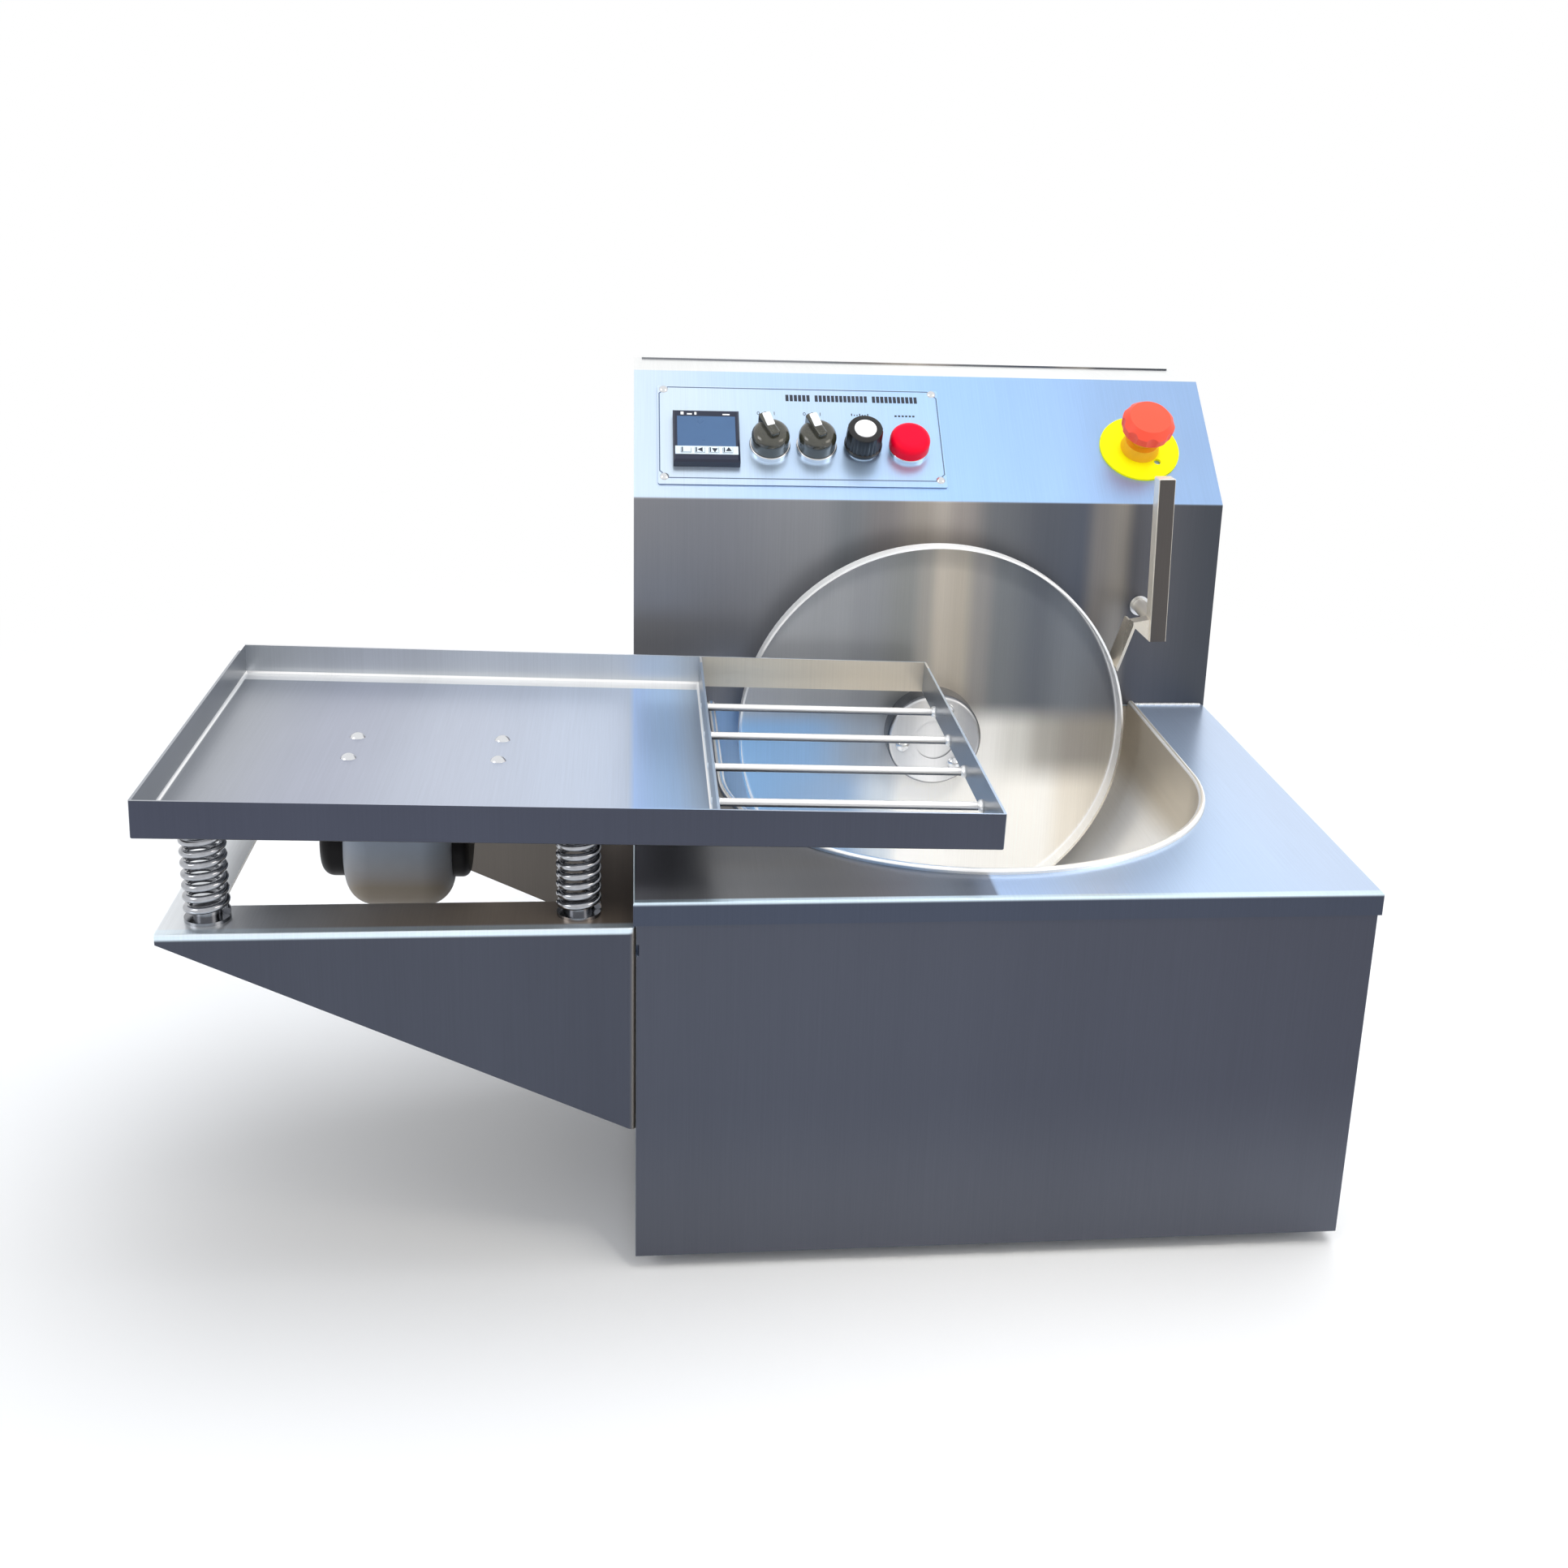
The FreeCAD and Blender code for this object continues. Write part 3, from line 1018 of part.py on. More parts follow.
def scraper_blade():
    """Lug on the bar's left side and the flat blade from it down to the wheel's rim."""
    face = LEVER_X - LEVER_WIDTH / 2
    y0 = WHEEL_BACK_Y - WHEEL_RIM - BLADE_OVERLAP
    corner = V(face - LUG_REACH, 0, LEVER_Z - LUG_LOW)
    lug = extrude_xz([(face, LEVER_Z + LUG_LOW + 1), (corner.x, LEVER_Z + LUG_LOW - 1),
                      (corner.x, corner.z), (face, LEVER_Z - LEVER_BELOW)], y0, LEVER_BACK_Y)
    lug = leaned(lug)
    angle = math.radians(BLADE_CONTACT)
    reach = WHEEL_RADIUS + TOUCH
    tip = V(AXIS_X + reach * math.cos(angle), 0, AXIS_Z + reach * math.sin(angle))
    along = (corner - tip).normalize()
    across = V(-along.z, 0, along.x) * BLADE_SHEET
    start = tip - along * 6
    corners = [start, start - across, corner - across + along, corner + along]
    blade = extrude_xz([(c.x, c.z) for c in corners], y0, WHEEL_BACK_Y + BLADE_OVERLAP)
    rim = rod(V(AXIS_X, 0, AXIS_Z), Y_DIR, reach, BODY_DEPTH)
    return fuse_all([lug, blade]).cut(rim)


# ---------------------------------------------------------------- table bracket and springs
BOLT_RADIUS = 4.0
BOLT_HEAD = 13.0


def bracket_bolt_places():
    for y in (45.0, BRACKET_DEPTH - 45.0):
        for z in (BRACKET_TOP - 22.0, BRACKET_FOOT + 24.0):
            yield y, z


def table_bracket():
    """One folded sheet: triangular gussets, a windowed top, a short nose and the mounting plate."""
    left = -BRACKET_LENGTH
    right = SIDE_FACE_X
    t = BRACKET_SHEET
    wedge = [(left, BRACKET_TOP), (right, BRACKET_TOP), (right, BRACKET_FOOT),
             (left, BRACKET_TOP - BRACKET_NOSE)]
    outer = extrude_xz(wedge, 0, BRACKET_DEPTH)
    outer = fillet_where(outer, BRACKET_BEND, lambda m, d: near(abs(d.z), 1) and near(m.x, right))
    outer = fillet_where(outer, t * 0.7, lambda m, d: near(m.z, BRACKET_TOP) and near(abs(d.x), 1)
                         and (near(m.y, 0) or near(m.y, BRACKET_DEPTH)))
    room = box(left + t, right - t, t, BRACKET_DEPTH - t, BRACKET_FOOT - 1, BRACKET_TOP - t)
    room = fillet_where(room, BRACKET_BEND - t, lambda m, d: near(abs(d.z), 1) and near(m.x, right - t))
    window = box(left + FLANGE_OUTER, right - FLANGE_INNER, FLANGE_FRONT, BRACKET_DEPTH - FLANGE_FRONT,
                 BRACKET_TOP - t - 1, BRACKET_TOP + 1)
    window = fillet_where(window, 4.0, lambda m, d: near(abs(d.z), 1))
    holes = [rod(V(right - t - 1, y, z), X_DIR, BOLT_RADIUS + SLIP, t + 2)
             for y, z in bracket_bolt_places()]
    return cut_all(outer, [room, window] + holes)


def bracket_bolts():
    bolts = []
    inner = SIDE_FACE_X - BRACKET_SHEET
    for y, z in bracket_bolt_places():
        head = hexagon(V(inner - 5.3, y, z), X_DIR, BOLT_HEAD, 5.3)
        shank = rod(V(inner - 1, y, z), X_DIR, BOLT_RADIUS, BRACKET_SHEET + SHEET + 12)
        nut = hexagon(V(SIDE_FACE_X + SHEET, y, z), X_DIR, BOLT_HEAD, 6.5)
        bolts.append(fuse_all([head, shank, nut]))
    return bolts


def spring_places():
    for x in (-BRACKET_LENGTH + SPRING_INSET_X, -BRACKET_LENGTH + SPRING_INSET_X + SPRING_SPAN):
        for y in (SPRING_INSET_Y, BRACKET_DEPTH - SPRING_INSET_Y):
            yield x, y


SEAT_STUB_RADIUS = SPRING_RADIUS - 2 * SPRING_WIRE - 0.8
SEAT_RADIUS = SPRING_RADIUS - 0.2


def lower_spring_seats():
    seats = []
    for x, y in spring_places():
        plate = rod(V(x, y, BRACKET_TOP), Z_DIR, SEAT_RADIUS, SEAT_PLATE)
        stub = rod(V(x, y, BRACKET_TOP), Z_DIR, SEAT_STUB_RADIUS, SEAT_PLATE + SEAT_STUB_HEIGHT)
        seats.append(fuse_all([plate, stub]))
    return seats


def upper_spring_seats():
    seats = []
    down = V(0, 0, -1)
    for x, y in spring_places():
        plate = rod(V(x, y, PAN_FLOOR), down, SEAT_RADIUS, SEAT_PLATE)
        stub = rod(V(x, y, PAN_FLOOR), down, SEAT_STUB_RADIUS, SEAT_PLATE + SEAT_STUB_HEIGHT)
        seats.append(fuse_all([plate, stub]))
    return seats


def springs():
    """Four coil springs between the seats; the table's sag makes the outer pair longer."""
    low = BRACKET_TOP + SEAT_PLATE + SPRING_WIRE
    coil_radius = SPRING_RADIUS - SPRING_WIRE
    result = []
    for x, y in spring_places():
        seat = PAN_FLOOR - SEAT_PLATE - table_drop(x + SPRING_RADIUS)
        length = seat - RUN_FIT - SPRING_WIRE - low
        pitch = length / SPRING_TURNS
        tangent = V(0, 2 * math.pi * coil_radius, pitch).normalize()
        section = Part.Wire(Part.Circle(V(coil_radius, 0, 0), tangent, SPRING_WIRE).toShape())
        path = Part.Wire(Part.makeHelix(pitch, length, coil_radius))
        coil = path.makePipeShell([section], True, True)
        coil.translate(V(x, y, low))
        result.append(coil)
    return result


# ---------------------------------------------------------------- vibrating table
def rod_places():
    """The grid's rods share the table's depth evenly."""
    step = TRAY_DEPTH / (ROD_COUNT + 1)
    return [step * (i + 1) for i in range(ROD_COUNT)]


def vibrator_bolt_places():
    for x in (VIBRATOR_FOOT_X - VIBRATOR_BOLTS_X / 2, VIBRATOR_FOOT_X + VIBRATOR_BOLTS_X / 2):
        for y in (TRAY_MIDDLE_Y - VIBRATOR_BOLTS_Y / 2, TRAY_MIDDLE_Y + VIBRATOR_BOLTS_Y / 2):
            yield x, y


def tray_pan():
    """Folded pan: closed floor on the left, open frame for the grid on the right."""
    left = -TRAY_OVERHANG
    right = TRAY_REACH
    outer = box(left, right, 0, TRAY_DEPTH, PAN_FLOOR, TRAY_TOP)
    outer = fillet_where(outer, SHEET * 0.7, lambda m, d: near(m.z, PAN_FLOOR) or near(abs(d.z), 1))
    room = box(left + SHEET, TRAY_DIVIDER, SHEET, TRAY_DEPTH - SHEET, PAN_FLOOR + SHEET, TRAY_TOP + 5)
    room = fillet_where(room, 2.5, lambda m, d: near(m.z, PAN_FLOOR + SHEET))
    grid = box(TRAY_DIVIDER + SHEET, right - SHEET, SHEET, TRAY_DEPTH - SHEET, PAN_FLOOR - 1,
               TRAY_TOP + 1)
    holes = [rod(V(x, y, PAN_FLOOR - 1), Z_DIR, VIBRATOR_SCREW_RADIUS, SHEET + 2)
             for x, y in vibrator_bolt_places()]
    return cut_all(outer, [room, grid] + holes)


def tray_grid_rods():
    rods = []
    z = PAN_FLOOR + ROD_RISE
    length = TRAY_REACH - TRAY_DIVIDER - 2 * SHEET
    for y in rod_places():
        rods.append(rod(V(TRAY_DIVIDER + SHEET, y, z), X_DIR, ROD_RADIUS, length))
    return rods


VIBRATOR_SCREW_RADIUS = 2.5
VIBRATOR_WALL = 5.0
VIBRATOR_SHAFT_RADIUS = 6.0
VIBRATOR_CORE_RADIUS = 22.0
CAP_WALL = 3.0
NECK_HALF = 22.0
NECK_INSET = 10.0
WEIGHT_RADIUS = 22.0
WEIGHT_LENGTH = 5.5
WEIGHT_GAP = 1.0


def shouldered(x0, x1, radius, shoulder):
    """Cylinder along X with both ends rounded over."""
    barrel = rod(V(x0, TRAY_MIDDLE_Y, VIBRATOR_Z), X_DIR, radius, x1 - x0)
    return fillet_where(barrel, shoulder, lambda m, d: near(m.x, x0) or near(m.x, x1))


def vibrator_housing():
    """Motor barrel with round shoulders, hung by its foot under the pan."""
    x0 = VIBRATOR_X - VIBRATOR_LENGTH / 2
    x1 = VIBRATOR_X + VIBRATOR_LENGTH / 2
    wall = VIBRATOR_WALL
    barrel = shouldered(x0, x1, VIBRATOR_RADIUS, VIBRATOR_SHOULDER)
    half_l = VIBRATOR_FOOT_LENGTH / 2
    half_w = VIBRATOR_FOOT_WIDTH / 2
    foot = box(VIBRATOR_FOOT_X - half_l, VIBRATOR_FOOT_X + half_l, TRAY_MIDDLE_Y - half_w,
               TRAY_MIDDLE_Y + half_w, PAN_FLOOR - VIBRATOR_FOOT_SHEET, PAN_FLOOR)
    foot = fillet_where(foot, 6.0, lambda m, d: near(abs(d.z), 1))
    neck = box(x0 + NECK_INSET, x1 - NECK_INSET, TRAY_MIDDLE_Y - NECK_HALF, TRAY_MIDDLE_Y + NECK_HALF,
               VIBRATOR_Z + VIBRATOR_RADIUS / 2, PAN_FLOOR - 1)
    solid = fuse_all([barrel, foot, neck])
    cavity = shouldered(x0 + wall, x1 - wall, VIBRATOR_RADIUS - wall, VIBRATOR_SHOULDER - wall)
    bearing = rod(V(x0, TRAY_MIDDLE_Y, VIBRATOR_Z), X_DIR, VIBRATOR_SHAFT_RADIUS + RUN_FIT,
                  VIBRATOR_LENGTH)
    tools = [cavity, bearing]
    for x, y in vibrator_bolt_places():
        tools.append(rod(V(x, y, PAN_FLOOR - VIBRATOR_FOOT_SHEET - 1), Z_DIR, VIBRATOR_SCREW_RADIUS,
                         VIBRATOR_FOOT_SHEET + 2))
    return cut_all(solid, tools)


def cap_length(side):
    return VIBRATOR_CAP_LEFT if side < 0 else VIBRATOR_CAP_RIGHT


def vibrator_end_caps():
    """Domed covers over the eccentric weights, the left one deeper."""
    caps = []
    for side in (-1, 1):
        length = cap_length(side)
        base = V(VIBRATOR_X + side * VIBRATOR_LENGTH / 2, TRAY_MIDDLE_Y, VIBRATOR_Z)
        way = X_DIR * side
        far_x = base.x + side * length
        outer = rod(base, way, VIBRATOR_CAP_RADIUS, length)
        outer = fillet_where(outer, length / 2, lambda m, d: near(m.x, far_x))
        inner = rod(base, way, VIBRATOR_CAP_RADIUS - CAP_WALL, length - CAP_WALL)
        caps.append(outer.cut(inner))
    return caps


def vibrator_screws():
    """Screws through the pan's floor into the vibrator's foot."""
    screws = []
    for x, y in vibrator_bolt_places():
        floor = PAN_FLOOR + SHEET
        head = dome_head(V(x, y, floor), Z_DIR, 4.8, 2.8)
        shank = rod(V(x, y, floor - SHEET - VIBRATOR_FOOT_SHEET), Z_DIR, VIBRATOR_SCREW_RADIUS,
                    SHEET + VIBRATOR_FOOT_SHEET)
        nut = hexagon(V(x, y, floor - SHEET - VIBRATOR_FOOT_SHEET - 4), Z_DIR, 8.0, 4.0)
        screws.append(fuse_all([head, shank, nut]))
    return screws


def vibrator_rotor():
    reach = [VIBRATOR_LENGTH / 2 + cap_length(side) - CAP_WALL - WEIGHT_GAP / 2 for side in (-1, 1)]
    shaft = rod(V(VIBRATOR_X - reach[0], TRAY_MIDDLE_Y, VIBRATOR_Z), X_DIR, VIBRATOR_SHAFT_RADIUS,
                sum(reach))
    half = VIBRATOR_LENGTH / 2 - VIBRATOR_WALL - 3
    core = rod(V(VIBRATOR_X - half, TRAY_MIDDLE_Y, VIBRATOR_Z), X_DIR, VIBRATOR_CORE_RADIUS, 2 * half)
    return fuse_all([shaft, core])


def eccentric_weights():
    """Half discs clamped on both ends of the shaft, hanging down at rest."""
    weights = []
    for side in (-1, 1):
        x0 = VIBRATOR_X + side * (VIBRATOR_LENGTH / 2 + WEIGHT_GAP)
        x1 = x0 + side * WEIGHT_LENGTH
        centre = V(min(x0, x1), TRAY_MIDDLE_Y, VIBRATOR_Z)
        disc = rod(centre, X_DIR, WEIGHT_RADIUS, WEIGHT_LENGTH)
        upper = box(centre.x - 1, centre.x + WEIGHT_LENGTH + 1, TRAY_MIDDLE_Y - VIBRATOR_RADIUS,
                    TRAY_MIDDLE_Y + VIBRATOR_RADIUS, VIBRATOR_Z, VIBRATOR_Z + VIBRATOR_RADIUS)
        clamp = rod(centre, X_DIR, VIBRATOR_SHAFT_RADIUS + 4, WEIGHT_LENGTH)
        weight = fuse_all([disc.cut(upper), clamp])
        weights.append(weight.cut(rod(centre, X_DIR, VIBRATOR_SHAFT_RADIUS, WEIGHT_LENGTH)))
    return weights


# ---------------------------------------------------------------- write the pieces
PIECES = {
    "base_plate": base_plate,
    "rubber_feet": rubber_feet,
    "front_panel": front_panel,
    "left_side_panel": left_side_panel,
    "right_side_panel": right_side_panel,
    "deck": deck,
    "hood_skin": hood_skin,
    "rear_cover": rear_cover,
    "cover_screws": cover_screws,
    "cable_gland": cable_gland,
    "fan_frame": fan_frame,
    "fan_rotor": fan_rotor,
    "power_supply": power_supply,
    "bowl": bowl,
    "heater_mat": heater_mat,
    "bowl_insulation": bowl_insulation,
    "temperature_probe": temperature_probe,
    "wheel": wheel,
    "wheel_hub": wheel_hub,
    "hub_screws": hub_screws,
    "wheel_shaft": wheel_shaft,
    "seal_housing": seal_housing,
    "shaft_seal": shaft_seal,
    "gearbox": gearbox,
    "drive_motor": drive_motor,
    "control_plate": control_plate,
    "control_plate_screws": control_plate_screws,
    "controller": controller,
    "display_window": display_window,
    "panel_collars": panel_collars,
    "heating_knob": lambda: selector_knob(0),
    "vibration_knob": lambda: selector_knob(1),
    "speed_knob": speed_knob,
    "power_lamp_lens": power_lamp_lens,
    "switch_bodies": switch_bodies,
    "estop_disc": estop_disc,
    "estop_collar": estop_collar,
    "estop_stem": estop_stem,
    "estop_head": estop_head,
    "scraper_stud": scraper_stud,
    "scraper_lever": scraper_lever,
    "scraper_blade": scraper_blade,
    "table_bracket": table_bracket,
    "bracket_bolts": bracket_bolts,
    "lower_spring_seats": lower_spring_seats,
    "upper_spring_seats": upper_spring_seats,
    "springs": springs,
    "tray_pan": tray_pan,
    "tray_grid_rods": tray_grid_rods,
    "vibrator_housing": vibrator_housing,
    "vibrator_end_caps": vibrator_end_caps,
    "vibrator_screws": vibrator_screws,
    "vibrator_rotor": vibrator_rotor,
    "eccentric_weights": eccentric_weights,
}
for number in range(KEY_COUNT):
    PIECES["controller_key_%d" % (number + 1)] = lambda number=number: controller_key(number)


ON_TABLE = ("upper_spring_seats", "tray_pan", "tray_grid_rods", "vibrator_housing", "vibrator_end_caps",
            "vibrator_screws", "vibrator_rotor", "eccentric_weights")


def placed(shape):
    """Move a finished piece into the part's own frame."""
    solids = shape if isinstance(shape, list) else [shape]
    moved = []
    for solid in solids:
        copy = solid.copy()
        copy.translate(SHIFT)
        moved.extend(copy.Solids)
    return moved[0] if len(moved) == 1 else Part.makeCompound(moved)


def main():
    os.makedirs("parts", exist_ok=True)
    for name, make in PIECES.items():
        shape = placed(sagged(make()) if name in ON_TABLE else make())
        if not shape.isValid():
            print("not valid:", name)
        shape.exportStep("parts/%s.step" % name)
        size = shape.BoundBox
        print("%-22s %2d solids %9.1f cm3  %5.0f %5.0f %5.0f" % (
            name, len(shape.Solids), shape.Volume / 1000, size.XLength, size.YLength, size.ZLength))


main()
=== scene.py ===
# %% [markdown]
# # Chocolate tempering machine
# The machine's solids come ready made, each at its real place, as a fixed frame. This lesson
# dresses them: it gives every sheet, casting, knob and spring the finish of the real one, and it
# models the small forms that make them believable, such as weld beads, pointers, printed marks
# and the ribs of a knob. All lengths are metres, and +Z is up.

# %% Load the frame
import bmesh
import bpy
import json
import math
from mathutils import Matrix, Vector


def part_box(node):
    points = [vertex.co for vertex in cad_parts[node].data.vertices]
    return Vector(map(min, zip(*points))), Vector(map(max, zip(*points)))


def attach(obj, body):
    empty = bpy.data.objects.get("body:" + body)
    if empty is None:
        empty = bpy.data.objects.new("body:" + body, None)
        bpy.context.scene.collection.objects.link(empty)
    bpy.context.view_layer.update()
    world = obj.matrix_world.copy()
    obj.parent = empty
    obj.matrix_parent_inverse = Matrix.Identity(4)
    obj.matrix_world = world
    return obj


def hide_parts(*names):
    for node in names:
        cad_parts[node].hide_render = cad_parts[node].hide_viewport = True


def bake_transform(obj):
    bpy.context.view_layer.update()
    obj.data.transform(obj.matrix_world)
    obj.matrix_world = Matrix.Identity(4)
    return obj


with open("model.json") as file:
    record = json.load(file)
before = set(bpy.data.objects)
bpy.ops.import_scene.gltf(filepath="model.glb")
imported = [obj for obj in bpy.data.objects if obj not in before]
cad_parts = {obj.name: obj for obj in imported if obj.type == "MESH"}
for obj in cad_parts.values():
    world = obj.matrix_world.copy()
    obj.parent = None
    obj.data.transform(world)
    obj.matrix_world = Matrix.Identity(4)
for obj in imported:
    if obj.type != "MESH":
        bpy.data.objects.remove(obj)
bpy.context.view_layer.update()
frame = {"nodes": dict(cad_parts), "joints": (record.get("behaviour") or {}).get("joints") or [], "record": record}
record = frame["record"]

# %% [markdown]
# ## Small helpers
# Colours are written as the hex values that a painter or a web page would use. Blender shades in
# linear light, so one function turns them. The others add a shader node with its settings and
# links, so that each material below reads as a short recipe.

# %% Colour and node helpers
MM = 0.001


def linear(code):
    """sRGB hex, such as "8fa0b4", as linear RGBA."""
    channels = [int(code[i:i + 2], 16) / 255 for i in (0, 2, 4)]
    return [c / 12.92 if c <= 0.04045 else ((c + 0.055) / 1.055) ** 2.4 for c in channels] + [1.0]


def add(tree, kind, inputs=None, **settings):
    """Add a shader node; inputs maps a socket's name or number to a value or to another socket."""
    node = tree.nodes.new(kind)
    for name, value in settings.items():
        setattr(node, name, value)
    for key, value in (inputs or {}).items():
        socket = node.inputs[key]
        if isinstance(value, bpy.types.NodeSocket):
            tree.links.new(value, socket)
        else:
            socket.default_value = value
    return node


def combine(tree, operation, a, b):
    """Result of one Math node."""
    return add(tree, "ShaderNodeMath", {0: a, 1: b}, operation=operation).outputs[0]


def rescale(tree, value, low, high, to_low=0.0, to_high=1.0, way="LINEAR"):
    """Map the range from low to high onto another, and hold its ends beyond it."""
    limits = {"Value": value, "From Min": low, "From Max": high, "To Min": to_low, "To Max": to_high}
    return add(tree, "ShaderNodeMapRange", limits, interpolation_type=way).outputs[0]


def smooth(tree, value, low, high):
    """Soft step from 0 at low to 1 at high; low may be the larger of the two."""
    return rescale(tree, value, low, high, way="SMOOTHSTEP")


def blend(tree, amount, a, b):
    """Colour a where the amount is 0 and b where it is 1."""
    return add(tree, "ShaderNodeMix", {"Factor": amount, "A": a, "B": b}, data_type="RGBA").outputs["Result"]


def noise(tree, vector, scale, detail):
    return add(tree, "ShaderNodeTexNoise", {"Vector": vector, "Scale": scale, "Detail": detail}).outputs[0]


def new_material(name):
    """A node material with a Principled shader wired to its output."""
    material = bpy.data.materials.new(name)
    material.use_nodes = True
    tree = material.node_tree
    return material, tree, tree.nodes["Principled BSDF"]


print("helpers ready; a mid grey is", [round(c, 3) for c in linear("808080")[:3]])

# %% [markdown]
# ## Where things are
# The controls sit on a slope, and the table hangs a little low at its grid end. The slope's
# normal and the table's lengthwise direction are read from the frame's joints, so the dressed
# pieces land on the solids without measuring anything twice. The body's left side and its front
# are the zeros from which patterns on the machine are measured.

# %% The slope's and the table's own axes
joint_of = {j["name"]: j for j in frame["joints"]}
SLOPE_NORMAL = Vector(joint_of["heating_turn"]["axis"]).normalized()
SLOPE_UP = Vector((0, SLOPE_NORMAL.z, -SLOPE_NORMAL.y))
SLOPE_X = Vector((1, 0, 0))
TABLE_X = Vector(joint_of["vibrator_spin"]["axis"]).normalized()
TABLE_Y = Vector((0, 1, 0))
TABLE_UP = TABLE_X.cross(TABLE_Y)
BODY_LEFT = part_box("deck")[0].x
BODY_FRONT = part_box("deck")[0].y


def standing(centre, x_axis, y_axis):
    """Matrix that stands a piece, drawn flat with +Z outwards, at centre in the given axes."""
    axes = Matrix((x_axis, y_axis, x_axis.cross(y_axis))).transposed().to_4x4()
    return Matrix.Translation(centre) @ axes


print("slope tilts", round(math.degrees(math.atan2(-SLOPE_NORMAL.y, SLOPE_NORMAL.z)), 1),
      "degrees, table", round(math.degrees(math.asin(-TABLE_X.z)), 2))

# %% [markdown]
# ## Camera
# The camera looks slightly down and to the right at the front of the machine. It is placed from
# the body's lower front corner, by its position and by three turns: to the right, down, and a
# small roll. The shift moves the picture sideways and up without turning the camera.

# %% Camera
CAMERA_FROM_CORNER = Vector((0.53, -911.5, 637.5)) * MM


def aim_camera(position, yaw, pitch, roll, lens, shift):
    """Camera from a position, three angles in degrees, a lens in mm and its two shifts."""
    y, p, r = (math.radians(a) for a in (yaw, pitch, roll))
    forward = Vector((math.sin(y) * math.cos(p), math.cos(y) * math.cos(p), -math.sin(p)))
    level = Vector((math.cos(y), -math.sin(y), 0))
    above = level.cross(forward)
    right = math.cos(r) * level + math.sin(r) * above
    up = -math.sin(r) * level + math.cos(r) * above
    data = bpy.data.cameras.new("camera")
    data.lens = lens
    data.shift_x, data.shift_y = shift
    camera = bpy.data.objects.new("camera", data)
    turn = Matrix((right, up, -forward)).transposed().to_4x4()
    camera.matrix_world = Matrix.Translation(position) @ turn
    bpy.context.scene.collection.objects.link(camera)
    bpy.context.scene.camera = camera
    return camera


body_corner = Vector((BODY_LEFT, BODY_FRONT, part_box("base_plate")[0].z))
camera = aim_camera(body_corner + CAMERA_FROM_CORNER, yaw=7.12, pitch=17.14, roll=2.185, lens=41.318,
                    shift=(-0.04146, -0.06651))
print("camera at", [round(v, 3) for v in camera.matrix_world.translation])

# %% [markdown]
# ## Floor
# In a studio a machine stands on a pale paper sweep. Near the machine the paper is matt and takes
# its shadow. Further out it turns to plain white, so that no horizon cuts through the view. Only
# what is seen is whitened, directly, mirrored or through glass, and never the light that the
# paper throws back.

# %% Floor
FLOOR_RADIUS = 14.0
SHADOW_REACH = 0.55
WHITE_BEYOND = 1.5


def is_seen(tree):
    """1 for a ray from the camera, a mirror image or glass, and 0 for a ray that lights."""
    ray = add(tree, "ShaderNodeLightPath").outputs
    seen = combine(tree, "MAXIMUM", ray["Is Camera Ray"], ray["Is Glossy Ray"])
    return combine(tree, "MAXIMUM", seen, ray["Is Transmission Ray"])


bm = bmesh.new()
bmesh.ops.create_circle(bm, cap_ends=True, segments=96, radius=FLOOR_RADIUS)
floor_mesh = bpy.data.meshes.new("floor")
bm.to_mesh(floor_mesh)
bm.free()
floor = bpy.data.objects.new("floor", floor_mesh)
bpy.context.scene.collection.objects.link(floor)

studio_paper, tree, shader = new_material("studio_paper")
shader.inputs["Base Color"].default_value = linear("fafafa")
shader.inputs["Roughness"].default_value = 0.9
shader.inputs["Specular IOR Level"].default_value = 0.1
place = add(tree, "ShaderNodeTexCoord")
away = add(tree, "ShaderNodeVectorMath", {0: place.outputs["Object"]}, operation="LENGTH")
fade = smooth(tree, away.outputs["Value"], SHADOW_REACH, WHITE_BEYOND)
amount = combine(tree, "MULTIPLY", fade, is_seen(tree))
sweep = add(tree, "ShaderNodeEmission", {"Color": linear("ffffff"), "Strength": 1.0})
both = add(tree, "ShaderNodeMixShader", {0: amount, 1: shader.outputs[0], 2: sweep.outputs[0]})
tree.links.new(both.outputs[0], tree.nodes["Material Output"].inputs["Surface"])
floor_mesh.materials.append(studio_paper)
print("floor radius", FLOOR_RADIUS, "m, white beyond", WHITE_BEYOND, "m")

# %% [markdown]
# ## Surround
# The room round the paper is a white tent. What is seen of it is plain white, and as a lamp it
# gives a dimmer, slightly cool light from all sides, which keeps the shadows soft.

# %% World
TENT_GLOW = 0.72
bpy.context.scene.view_settings.view_transform = "Standard"
world = bpy.data.worlds.new("studio")
bpy.context.scene.world = world
world.use_nodes = True
tree = world.node_tree
tree.nodes.clear()
glow = add(tree, "ShaderNodeBackground", {"Color": linear("f8fafd"), "Strength": TENT_GLOW})
white = add(tree, "ShaderNodeBackground", {"Color": linear("ffffff"), "Strength": 1.0})
mixed = add(tree, "ShaderNodeMixShader", {0: is_seen(tree), 1: glow.outputs[0], 2: white.outputs[0]})
add(tree, "ShaderNodeOutputWorld", {"Surface": mixed.outputs[0]})
print("world: white where it is seen,", TENT_GLOW, "as a lamp")

# %% [markdown]
# ## Soft lamps
# Steel shows its surroundings, so it is lit by a few large soft lamps: one overhead, one on each
# side, and a small narrow one that looks into the bowl. The overhead lamp and the bowl's lamp
# stay out of the mirror images, so that they don't burn white patches into the steel.


